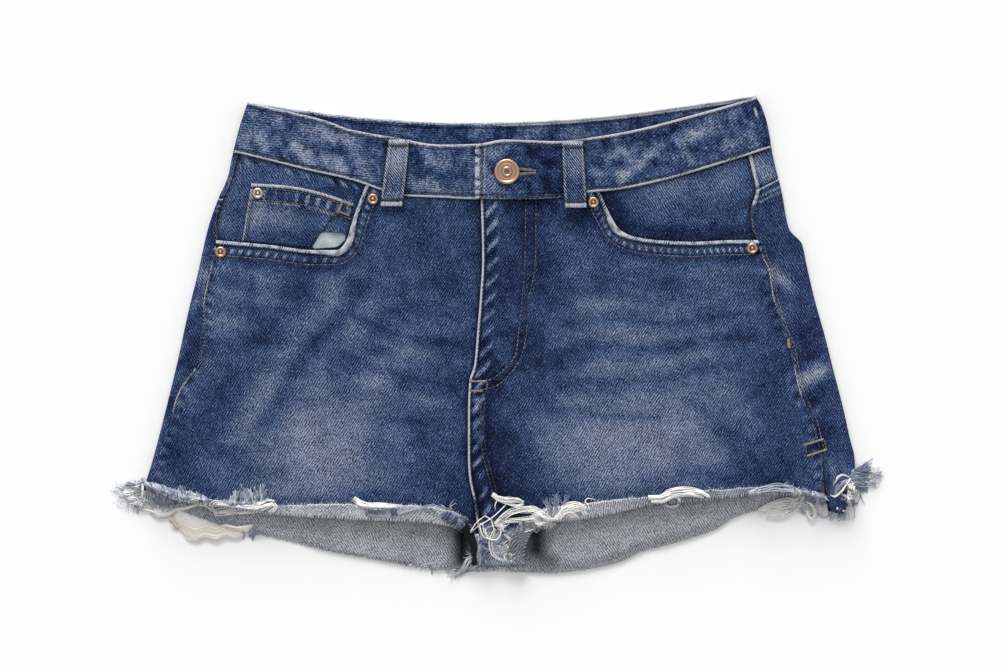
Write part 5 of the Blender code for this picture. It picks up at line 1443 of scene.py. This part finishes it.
# -------- frayed threads
def ground(x, y):
    """Height of what a loose thread lies on: the front, its turned-up hem, back or floor."""
    left = x < through(FLY_EDGE, y)
    tables = [np.array(sorted(table)).T for table in (HEM_LEFT, HEM_RIGHT)]
    hem, wide = (np.where(left, *(np.interp(x, table[0], table[column]) for table in tables))
                 for column in (1, 2))
    inside = ease((np.minimum(x - fold_x(-1, y), fold_x(1, y) - x) + 1) / 2.5)
    strip = (x > -17) & (x < 20) & (y > -160)
    hem = np.where(strip, np.minimum(hem, y - 2), hem)
    on = ease((y - hem + 1.4) / 1.6) * inside
    roll = 2.4 * ease((y - hem + 1.4) / 1.2) * ease((hem + wide + 0.6 - y) / 1.2) * ~strip
    reach = np.where(x < 0, x - fold_x(-1, y), fold_x(1, y) - x) + (math.pi - 2) * FOLD_R
    below = np.where(x < 0, through(BACK_HEM_LEFT, reach), through(BACK_HEM_RIGHT, reach))
    back = (DENIM + 0.1) * ease((y - below + 0.6) / 1.2) * inside
    return back * (1 - on) + (top_front(x, y) + roll) * on


def tubes(lines, radii, tints):
    """Threads as three-sided tubes: lines is threads x points x 3, radii threads x points."""
    lines = np.asarray(lines)
    count, length = lines.shape[:2]
    run = np.gradient(lines, axis=1)
    run /= np.maximum(np.linalg.norm(run, axis=-1, keepdims=True), 1e-6)
    side = np.stack([-run[..., 1], run[..., 0], 0 * run[..., 0]], axis=-1)
    side /= np.maximum(np.linalg.norm(side, axis=-1, keepdims=True), 1e-3)
    up = np.cross(side, run)
    turn = np.array([math.pi / 2, math.pi * 7 / 6, math.pi * 11 / 6])
    ring = (lines[:, :, None] + radii[:, :, None, None] * (
        np.cos(turn)[:, None] * side[:, :, None] + np.sin(turn)[:, None] * up[:, :, None]))
    index = np.arange(count * length * 3).reshape(count, length, 3)
    following = np.roll(index, -1, axis=2)
    a, b, c, d = index[:, :-1], following[:, :-1], following[:, 1:], index[:, 1:]
    faces = [np.stack(corners, axis=-1).reshape(-1, 3) for corners in ((a, c, b), (a, d, c))]
    faces += [index[:, 0], index[:, -1, ::-1]]
    return ring.reshape(-1, 3), np.concatenate(faces), np.repeat(tints, length * 3)


LOOSE_POINTS, STRAND_POINTS = 8, 28  # points along a thread
TAPER = 0.4  # the share of a long thread over which it thins out


def loose(line, tufts, heading, spread, lengths, curl, thick, tints, seed, lift=1.0, threads=1,
          start=0.4):
    """Loose threads off a line of roots, in tufts.  A tuft sets out at its heading in degrees,
    give or take the spread, bends by a random curl and lies on the ground, rising off it by up
    to the lift.  Its threads keep close to one another and part towards their tips.  Lengths
    and tints are the least and the most, start is the height of the roots."""
    chance = np.random.default_rng(seed)
    line = np.asarray(line, dtype=float)[:, :2]
    count = tufts * threads

    def together(values):
        """One value for each thread out of one for each tuft."""
        return np.repeat(values, threads)

    place = together((np.arange(tufts) + chance.uniform(0, 1, tufts)) / tufts)
    root = at_length(line, place * run_lengths(line)[-1])
    root += chance.normal(0, 0.3 if threads == 1 else 0.55, root.shape)
    if np.ndim(heading):
        heading = np.interp(place, np.linspace(0, 1, len(heading)), heading)
    own = 0.0 if threads == 1 else 0.11
    angle = np.radians(heading + together(chance.normal(0, spread, tufts)))
    angle = angle + chance.normal(0, own, count)
    long = together(chance.uniform(*lengths, tufts)) * chance.uniform(0.7, 1.05, count)
    t = np.linspace(0, 1, LOOSE_POINTS)
    bend = together(chance.normal(0, curl, tufts)) + chance.normal(0, curl * 0.25, count)
    swing = together(chance.normal(0, curl * 0.5, tufts)) + chance.normal(0, curl * 0.15, count)
    way = angle[:, None] + bend[:, None] * t + swing[:, None] * np.sin(
        t * together(chance.uniform(3, 9, tufts))[:, None])
    step = long[:, None] / (LOOSE_POINTS - 1)
    x = root[:, :1] + np.cumsum(np.cos(way) * step, axis=1) - np.cos(way[:, :1]) * step
    y = root[:, 1:] + np.cumsum(np.sin(way) * step, axis=1) - np.sin(way[:, :1]) * step
    arch = np.sin(math.pi * np.minimum(t * 0.9 + 0.1, 1))
    rise = chance.uniform(0.1, 1, count)[:, None] * lift * arch
    z = ground(x, y)
    z = np.maximum(z, z[:, :1] * (1 - t * 1.6)) + rise + start * (1 - t) + thick
    radii = thick * (1 - 0.5 * t) * chance.uniform(0.8, 1.2, count)[:, None]
    tint = together(chance.uniform(*tints, tufts)) + chance.normal(0, 0.07, count)
    return np.stack([x, y, z], axis=-1), radii, np.clip(tint, 0, 1)


def strand(control, thick, tint, lift, copies, spread, seed):
    """Long threads laid side by side through the same control points, rising and falling."""
    chance = np.random.default_rng(seed + 900)
    t = np.linspace(0, 1, STRAND_POINTS)
    middle = path(control, t)
    run = np.gradient(middle, axis=0)
    side = np.column_stack([-run[:, 1], run[:, 0]]) / np.maximum(np.hypot(*run.T), 1e-6)[:, None]
    lane = (np.linspace(-1, 1, copies) if copies > 1 else np.zeros(1)) * spread
    gather = 0.45 + 0.55 * np.sin(math.pi * np.clip(t * 0.86 + 0.1, 0, 1))
    lane = lane[:, None] * gather + chance.normal(0, 0.12 * spread + 0.02, (copies, 1))
    sway = t * chance.uniform(5, 14, (copies, 1)) + chance.uniform(0, 6, (copies, 1))
    lane = lane + 0.16 * spread * np.sin(sway)
    flat = middle[None] + side[None] * lane[..., None]
    z = ground(flat[..., 0], flat[..., 1]) + thick + 0.15
    z = np.maximum(z, (np.roll(z, 1, axis=1) + np.roll(z, -1, axis=1)) / 2)
    hump = lift * np.sin(math.pi * t) * chance.uniform(0.5, 1.2, (copies, 1))
    z = z + hump + 0.5 * (1 - (lane / max(spread, 0.01)) ** 2).clip(0) * (copies > 3)
    radii = thick * np.where(t > 1 - TAPER, 1 - 0.5 * (t - 1 + TAPER) / TAPER, 1.0) + 0 * z
    return np.concatenate([flat, z[..., None]], axis=-1), radii, np.clip(
        tint + chance.normal(0, 0.06, copies), 0, 1)


def tangle(control, thick, tint, lift, copies, spread, seed):
    """A bundle at the crotch: over three threads are drawn finer and nearly twice as many."""
    if copies > 3:
        return strand(control, thick * 0.62, tint, lift, round(copies * 1.8), spread * 1.15, seed)
    return strand(control, thick, tint, lift, copies // 2 + copies % 2, spread * 1.15, seed)


def fray(name, bunches, nodes=(), made=FRAYED):
    """One piece of frayed threads from several bunches."""
    points, faces, tints = zip(*(tubes(*bunch) for bunch in bunches))
    firsts = np.cumsum([0] + [len(part) for part in points])
    faces = np.concatenate([part + first for part, first in zip(faces, firsts)])
    return piece(name, np.concatenate(points), faces, (made,),
                 {"tint": np.concatenate(tints)}, None, nodes)


BACK_LEFT_EDGE = [  # x, y of the back hem
    (-240, -110), (-225, -120), (-200, -129), (-175, -136), (-150, -141.5), (-120, -149),
    (-90, -154.5), (-60, -160), (-30, -163.5), (-8, -164)]
BACK_RIGHT_EDGE = [  # x, y of the back hem
    (5, -164), (40, -165), (60, -162.5), (78, -157.5), (95, -151), (110, -148), (122, -144),
    (134, -138.5), (150, -131), (178, -121), (205, -118)]
# Each row of tufts is what loose() is given, each row of strands what strand() is.
LEFT_CORNER_TUFTS = [
    ([(-247.5, -101), (-251, -105), (-249, -112)], 11, (180, 200, 225), 14, (7, 13), 0.6, 0.34,
     (0.35, 0.75), 1, 2.0, 7),
    ([(-252.5, -103.5), (-253, -104.5)], 3, 176, 5, (7, 8.5), 0.2, 0.42, (0.45, 0.6), 2, 2.5, 9),
    ([(-249, -106), (-254, -112), (-248, -119)], 60, (160, 200, 250), 70, (3, 8), 1.6, 0.26,
     (0.3, 1.0), 3, 2.6),
    ([(-246, -112), (-252, -117)], 14, (215, 240), 30, (4, 9), 1.1, 0.32, (0.35, 0.9), 4, 2.0, 4),
    ([(-248, -102), (-250, -103)], 4, 96, 14, (3, 5), 0.4, 0.3, (0.3, 0.6), 5, 1.0, 3),
    ([(-250, -104), (-256, -110), (-249, -118)], 18, (170, 190, 225), 40, (5, 9), 1.2, 0.5,
     (0.55, 1.0), 9, 2.4, 5),
    ([(-262, -106), (-258, -116)], 8, (176, 200), 24, (5, 12), 0.8, 0.2, (0.3, 0.7), 6, 1.0, 2)]
LEFT_CORNER_STRANDS = [
    ([(-248.7, -101.5), (-248, -107), (-248.4, -111.5), (-245.8, -115.5)], 0.42, 0.92, 2.6, 2, 0.4,
     8),
    ([(-256.5, -108), (-257, -112), (-252, -114), (-250.5, -120)], 0.4, 0.98, 1.8, 2, 0.6, 10),
    ([(-251, -104.5), (-254.5, -106), (-255, -110), (-251, -112)], 0.36, 0.95, 2.2, 2, 0.5, 11)]
FRONT_LEFT_TUFTS = [
    ([(-247, -101.8), (-238, -103.2), (-228, -106.5)], 24, (-66, -72, -76), 8, (13, 18), 0.4, 0.38,
     (0.26, 0.76), 10, 2.2, 9),
    ([(-230, -106.5), (-214, -108.5), (-203, -112.5)], 24, (-78, -84, -70), 14, (7, 11), 0.5, 0.38,
     (0.2, 0.7), 11, 2.0, 8),
    ([(-246, -107), (-232, -110), (-206, -113)], 30, (-70, -80), 26, (5, 10), 1.1, 0.28,
     (0.35, 0.9), 12, 3.0, 2),
    ([(-225, -113), (-216, -113)], 7, (64, 90, 118), 5, (8, 10), 0.15, 0.36, (0.1, 0.4), 24, 1.5,
     8),
    ([(-246, -118), (-230, -119), (-212, -116)], 46, -70, 42, (2, 5), 0.8, 0.24, (0.45, 1.0), 25,
     1.2, 2),
    ([(-190, -118), (-162, -116)], 15, (80, 100), 9, (9, 14), 0.5, 0.42, (0.28, 0.66), 13, 2.0, 8),
    ([(-176, -116), (-160, -116)], 5, 60, 40, (10, 14), 1.9, 0.4, (0.3, 0.6), 14, 2.2, 3),
    ([(-92, -119), (-68, -121)], 9, 272, 12, (4, 7), 0.5, 0.42, (0.1, 0.4), 16, 1.0, 6),
    ([(-34, -122), (-24, -126), (-19, -128)], 11, (215, 240, 265), 16, (6, 12), 0.7, 0.4,
     (0.05, 0.35), 17, 1.4, 7),
    ([(-46, -118), (-30, -121)], 8, 200, 50, (4, 9), 0.9, 0.34, (0.15, 0.6), 18, 1.2, 4)]
FRONT_LEFT_STRANDS = [
    ([(-197, -123), (-188, -122), (-175, -121), (-165, -119), (-156, -116)], 0.36, 0.9, 1.0, 17,
     2.6, 1),
    ([(-197, -125), (-199, -119), (-194, -117), (-181, -119)], 0.4, 0.9, 1.6, 3, 0.7, 2),
    ([(-199, -122), (-200, -118), (-196, -115), (-190, -117)], 0.4, 0.75, 1.8, 2, 0.6, 9),
    ([(-173, -115), (-165, -116), (-160, -114), (-155, -115)], 0.36, 0.85, 1.5, 4, 0.8, 3),
    ([(-156, -116), (-154, -119), (-159, -123), (-164, -124)], 0.34, 0.8, 1.2, 3, 0.9, 4),
    ([(-100, -113), (-95, -116), (-86, -118), (-77, -118), (-69, -118)], 0.34, 0.95, 0.8, 12, 1.9,
     5),
    ([(-69, -124), (-56, -120), (-45, -118), (-35, -122), (-26, -130)], 0.36, 0.6, 0.8, 2, 0.5, 6),
    ([(-248, -121), (-240.8, -122.9), (-235.6, -125.3), (-230.3, -124.6), (-225, -121.3),
      (-216.3, -119.4), (-209.3, -117.4), (-204, -118.3), (-199.7, -121.5)], 0.42, 0.98, 2.0, 4,
     0.8, 7),
    ([(-243, -124), (-236.4, -126.8), (-230, -126.2), (-224, -122.5)], 0.4, 0.8, 1.2, 2, 0.5, 19),
    ([(-215, -116.5), (-209, -113.5), (-205, -112), (-203, -114)], 0.36, 0.75, 1.6, 3, 0.6, 26)]
BACK_LEFT_TUFTS = [
    (BACK_LEFT_EDGE, 560, 268, 28, (0.6, 2.2), 0.6, 0.17, (0.2, 0.7), 30, 0.3),
    ([(-190, -131), (-166, -137)], 12, 225, 35, (4, 9), 0.9, 0.3, (0.25, 0.6), 31, 0.8, 5),
    ([(-60, -160), (-20, -164)], 9, 215, 25, (4, 9), 0.8, 0.26, (0.4, 0.95), 32, 0.6, 4)]
FRONT_RIGHT_STRANDS = [
    ([(106, -112), (114, -112), (122, -108), (131, -107), (141, -108), (149, -112)], 0.36, 0.93,
     1.6, 12, 1.9, 31),
    ([(108, -115), (115, -115), (125, -111), (133, -110), (145, -112)], 0.34, 0.88, 1.0, 5, 1.1,
     32),
    ([(117, -117), (122, -119), (127, -118), (128, -114), (125, -112)], 0.45, 0.92, 1.4, 2, 0.5,
     33),
    ([(176, -110), (186, -107), (196, -105.5), (206, -106.5), (214, -110)], 0.4, 0.5, 1.8, 7, 2.4,
     35),
    ([(184, -123), (193, -118.5), (203, -116.5), (211, -115), (216, -111.5)], 0.3, 0.97, 1.0, 18,
     3.4, 36),
    ([(189, -126), (197, -126), (206, -123), (214, -118)], 0.3, 0.98, 0.8, 10, 2.2, 37),
    ([(215, -116), (217.5, -122), (221, -127.5), (223.5, -124), (221, -117.5), (217, -115.5)], 0.4,
     0.97, 1.6, 4, 0.9, 38),
    ([(217.5, -118), (220, -124), (221.5, -121), (219.5, -117.5)], 0.36, 0.85, 1.4, 2, 0.5, 39)]
FRONT_RIGHT_TUFTS = [
    ([(176, -108), (196, -105.5), (212, -107), (229, -112)], 30, (-95, -80, -60, -80), 24, (5, 10),
     0.8, 0.34, (0.25, 0.85), 41, 2.0, 6),
    ([(182, -109), (200, -106), (218, -109)], 12, (60, 30, 100), 30, (4, 8), 0.9, 0.34, (0.2, 0.6),
     42, 2.4, 5),
    ([(207, -114), (217, -119), (225, -124)], 26, (250, 280, 265), 40, (5, 10), 1.2, 0.28,
     (0.5, 1.0), 43, 2.0, 4),
    ([(221, -108), (230, -112)], 10, (-60, -100), 24, (7, 12), 0.8, 0.36, (0.3, 0.8), 44, 2.4, 5)]
BACK_RIGHT_TUFTS = [
    (BACK_RIGHT_EDGE, 480, 272, 28, (0.6, 2.0), 0.6, 0.17, (0.35, 0.8), 50, 0.3)]
RIGHT_CORNER_TUFTS = [
    ([(247.6, -102.5), (248.6, -97.5), (249.4, -92.8)], 18, (-24, -3, 11), 6, (11, 16), 0.45, 0.42,
     (0.25, 0.72), 60, 3.0, 9),
    ([(246.5, -107), (245.5, -115)], 12, (-30, -75), 26, (4, 8), 1.2, 0.32, (0.6, 1.0), 67, 2.2, 4,
     2.5),
    ([(262, -94), (266, -97), (262, -101)], 10, (14, 0, -30), 12, (5, 8), 0.6, 0.28, (0.4, 0.8),
     61, 2.2, 4),
    ([(250, -102), (258, -101)], 9, (-80, -50), 24, (6, 13), 0.9, 0.28, (0.3, 0.8), 62, 2.2, 3),
    ([(234, -120), (240, -117), (246, -119)], 12, (258, 285), 14, (8, 13), 0.8, 0.34, (0.3, 0.9),
     63, 1.8, 6, 4.4),
    ([(237, -119), (245, -122)], 9, 270, 50, (4, 8), 1.6, 0.3, (0.75, 1.0), 66, 2.0, 3, 4.8),
    ([(244, -110), (248, -117)], 12, (250, 280), 40, (4, 8), 1.4, 0.32, (0.05, 0.5), 64, 2.0, 4),
    ([(246, -104), (252, -108)], 16, (0, -60), 60, (3, 6), 1.8, 0.4, (0.85, 1.0), 65, 2.6, 4, 2.5)]
RIGHT_CORNER_STRANDS = [
    ([(234, -110.8), (235.5, -104.5), (238.7, -98), (242.2, -96.4), (247.4, -98.2)], 0.42, 0.82,
     2.6, 2, 0.4, 55),
    ([(248.6, -98.6), (244.4, -103.4), (240.6, -108.6), (236.4, -111.8), (233.8, -110.6)], 0.46,
     0.99, 3.4, 3, 0.5, 56),
    ([(235.2, -110.2), (236.8, -104.5), (240.2, -99.6), (246.5, -99.2)], 0.62, 0.08, 2.2, 6, 2.0,
     57),
    ([(236.6, -110.6), (239, -105.4), (242.6, -102), (247, -100)], 0.5, 0.42, 2.6, 4, 1.5, 58),
    ([(248.3, -112), (250.5, -119.4), (251.2, -126), (249.2, -128.4)], 0.3, 0.25, 1.4, 1, 0.5, 59),
    ([(254.5, -104), (255.5, -110), (252.8, -117.5)], 0.28, 0.2, 1.2, 1, 0.5, 60),
    ([(255.5, -110.5), (256.5, -114), (258.6, -117.5)], 0.26, 0.2, 1.0, 1, 0.5, 61),
    ([(244, -118), (247, -119.5), (248.5, -117.5), (246.5, -116.5)], 0.5, 0.97, 1.6, 2, 0.6, 62)]
CROTCH_TUFTS = [
    ([(36, -120), (48, -117)], 11, (120, 80), 30, (5, 10), 0.9, 0.38, (0.1, 0.5), 70, 2.0, 6),
    ([(-13, -139), (-15, -150), (-14, -160)], 14, (190, 200, 230), 30, (4, 9), 0.9, 0.36,
     (0.25, 0.8), 71, 1.6, 7),
    ([(-12, -141), (-6, -150), (-10, -158)], 12, (250, 300), 50, (5, 10), 1.2, 0.4, (0.05, 0.4),
     72, 1.6, 6),
    ([(-14, -160), (0, -163), (14, -161)], 13, 262, 25, (2, 5), 0.8, 0.3, (0.6, 1.0), 73, 1.0, 4),
    ([(2, -128), (10, -150), (6, -158)], 16, 250, 90, (4, 9), 1.4, 0.36, (0.5, 1.0), 74, 2.6, 4),
    ([(28, -130), (40, -130)], 9, 280, 40, (4, 7), 1.2, 0.3, (0.7, 1.0), 75, 1.6, 4),
    ([(4, -149), (12, -156)], 26, 0, 180, (6, 10), 3.0, 0.26, (0.7, 1.0), 76, 2.4)]
CROTCH_BUNDLES = [  # control points, thickness, tint, lift, threads, spread
    ([(-3, -110), (2, -113), (7, -114), (14, -114), (19, -116)], 0.36, 0.97, 1.6, 9, 1.5),
    ([(-1, -113), (7, -116), (14, -118), (19, -117)], 0.36, 0.95, 1.2, 5, 0.9),
    ([(-1, -131), (6, -125), (11, -122), (22, -120), (30, -122), (36, -127)], 0.38, 0.98, 1.8, 8,
     1.7),
    ([(0, -132), (7, -129), (17, -128), (26, -127), (32, -130), (40, -129)], 0.36, 0.97, 1.4, 5,
     1.4),
    ([(14, -121), (24, -121), (32, -125), (39, -128), (42, -127)], 0.4, 0.98, 1.8, 8, 2.0),
    ([(26, -128), (30, -131), (36, -131), (41, -128)], 0.4, 0.97, 1.2, 6, 1.4),
    ([(8, -116), (2, -122), (-4, -127), (-12, -132), (-18, -137)], 0.44, 0.98, 2.6, 2, 0.4),
    ([(1, -113), (-1, -118), (-1, -121)], 0.4, 0.97, 1.0, 1, 0.2),
    ([(-8, -125), (-4, -128), (-2, -134), (-1, -143)], 0.46, 0.99, 2.4, 2, 0.4),
    ([(-18, -136), (-14, -130), (-8, -125)], 0.44, 0.98, 1.6, 2, 0.4),
    ([(-8, -134), (-6, -141), (-1, -142), (3, -137), (3, -134), (-1, -132), (-6, -133)], 0.46,
     0.98, 2.0, 2, 0.5),
    ([(5, -150), (6, -156), (11, -157), (14, -151), (13, -148), (9, -148), (6, -150)], 0.46, 0.95,
     1.6, 2, 0.5),
    ([(-11, -130), (-10, -136), (-7, -140), (-4, -141)], 0.46, 0.95, 1.8, 3, 0.9),
    ([(-1, -134), (-4, -144), (-3, -151), (4, -156), (9, -158)], 0.42, 0.9, 1.6, 3, 0.9),
    ([(42, -127), (45, -123), (50, -118), (57, -117), (63, -120)], 0.34, 1.0, 1.6, 9, 1.7),
    ([(42, -128), (48, -122), (53, -124), (58, -129)], 0.34, 1.0, 1.2, 8, 1.9),
    ([(42, -127.5), (50, -121), (58, -120), (63, -125)], 0.34, 1.0, 1.4, 8, 2.0),
    ([(63, -120), (65, -121), (64, -117), (62, -115), (64, -113), (69, -114)], 0.42, 0.95, 2.0, 1,
     0.3),
    ([(26, -134), (18, -137), (12, -141), (5, -148)], 0.3, 0.85, 1.6, 2, 0.5),
    ([(26, -135), (28, -137), (30, -135)], 0.4, 0.95, 0.8, 2, 0.4),
    ([(-14, -138), (-12, -145), (-16, -153), (-20, -157), (-24, -164), (-33, -168)], 0.42, 0.66,
     1.0, 6, 1.7),
    ([(-11, -145), (-12, -151), (-14, -158), (-21, -164), (-28, -167)], 0.42, 0.5, 0.8, 5, 1.3)]


def bunches(tufts, strands=()):
    """The threads of a table of tufts and of a table of strands."""
    return [loose(*row) for row in tufts] + [strand(*row) for row in strands]


def all_frays(raw_left, raw_right):
    """The frayed hems, from the left corner round to the right one, and the crotch's tangle."""
    fray("fray_left_corner", bunches(LEFT_CORNER_TUFTS, LEFT_CORNER_STRANDS),
         ("fringe_left_corner", "fringe_left_hem"))
    raw = loose(raw_left, 360, 92, 30, (0.8, 2.2), 0.6, 0.2, (0.1, 0.7), 15, 0.4)
    fray("fray_front_left", [raw] + bunches(FRONT_LEFT_TUFTS, FRONT_LEFT_STRANDS),
         ("fringe_front_left",))
    tassel = [
        strand([(-172 - k, -133.5 - k), (-182, -135 - k), (-190, -133.5 - k), (-197, -136 - k),
                (-204, -134 - k), (-211, -136.5 - k), (-218, -133.5 - k * 1.1),
                (-228 + 1.5 * k, -129 - k * 1.5)], 0.4, 0.86, 0.9, 6, 0.9, 20 + i)
        for i, k in enumerate(np.linspace(-1.2, 6.4, 9))]
    tip = [([(-226, -129), (-220, -133)], 8, (150, 185), 22, (4, 8), 0.6, 0.34, (0.2, 0.6), 33,
            1.2, 6)]
    fray("fray_tassel", tassel + bunches(tip), (), UNBLEACHED)
    fray("fray_back_left", bunches(BACK_LEFT_TUFTS), ("fringe_back_left",))
    raw = loose(raw_right, 360, 90, 30, (0.8, 2.2), 0.6, 0.2, (0.05, 0.6), 40, 0.4)
    fray("fray_front_right", [raw] + bunches(FRONT_RIGHT_TUFTS, FRONT_RIGHT_STRANDS),
         ("fringe_front_right", "fringe_right_hem"))
    fray("fray_back_right", bunches(BACK_RIGHT_TUFTS), ("fringe_back_right",))
    fray("fray_right_corner", bunches(RIGHT_CORNER_TUFTS, RIGHT_CORNER_STRANDS),
         ("fringe_right_corner",))
    fray("fray_crotch", [tangle(*row, 70 + i) for i, row in enumerate(CROTCH_BUNDLES)]
         + bunches(CROTCH_TUFTS), ("fringe_crotch",))


# -------- putting it together
legs = []  # front, its raw edge, yoke and back of each leg
for hand in (-1, 1):
    legs.append((*front_panel(hand), *back_and_yoke(hand)))
front_left, raw_left, yoke_left, back_left = legs[0]
front_right, raw_right, yoke_right, back_right = legs[1]
left_facing, right_facing = facing(-1), facing(1)
band = waistband()
coin = laid_on_facing("coin_pocket", COIN_TOP, COIN_BOTTOM, 64, 44, coin_finish)
bag = laid_on_facing("pocket_bag", BAG_TOP, BAG_BOTTOM, 40, 20, bag_finish, slot="pocketing",
                     materials=(POCKETING,))
loops = [belt_loop(*row) for row in BELT_LOOPS]
all_stitches()
buttonhole_stitches()
button()
rivets()
all_frays(raw_left, raw_right)

# -------- floor, light and camera
FLOOR, FLOOR_Z = 3.0, -5e-5  # m: from the middle to the edge, and just under the cloth
FRAME_WIDTH = 0.7056  # m across the picture

floor_mesh = bpy.data.meshes.new("floor")
floor_mesh.from_pydata([(x * FLOOR, y * FLOOR, FLOOR_Z) for x, y in (
    (-1, -1), (1, -1), (1, 1), (-1, 1))], [], [(0, 1, 2, 3)])
floor = bpy.data.objects.new("floor", floor_mesh)
bpy.context.scene.collection.objects.link(floor)
floor_mesh.materials.append(material("white_paper", Base_Color=linear("#fbfbfb"), Roughness=0.9,
                                     Specular_IOR_Level=0.1)[0])

# a wide softbox low beyond the waist and a bright room: the light grazes the cloth
lamp = bpy.data.lights.new("softbox", "SUN")
lamp.energy, lamp.angle = 3.6, math.radians(34)
softbox = bpy.data.objects.new("softbox", lamp)
softbox.rotation_euler = (math.radians(-69), 0, math.radians(8))
bpy.context.scene.collection.objects.link(softbox)

world = bpy.data.worlds.new("studio")
world.use_nodes = True
world.node_tree.nodes["Background"].inputs["Color"].default_value = linear("#ffffff")
world.node_tree.nodes["Background"].inputs["Strength"].default_value = 0.61
bpy.context.scene.world = world
bpy.context.scene.view_settings.view_transform = "Standard"

view = bpy.data.cameras.new("overhead_camera")
view.lens, view.sensor_width = 100.0, 36.0
view.clip_start, view.clip_end = 0.05, 20.0
camera = bpy.data.objects.new("overhead_camera", view)
camera.location = (0.00525, 0.0007, FRAME_WIDTH * view.lens / view.sensor_width + 0.006)
bpy.context.scene.collection.objects.link(camera)
bpy.context.scene.camera = camera
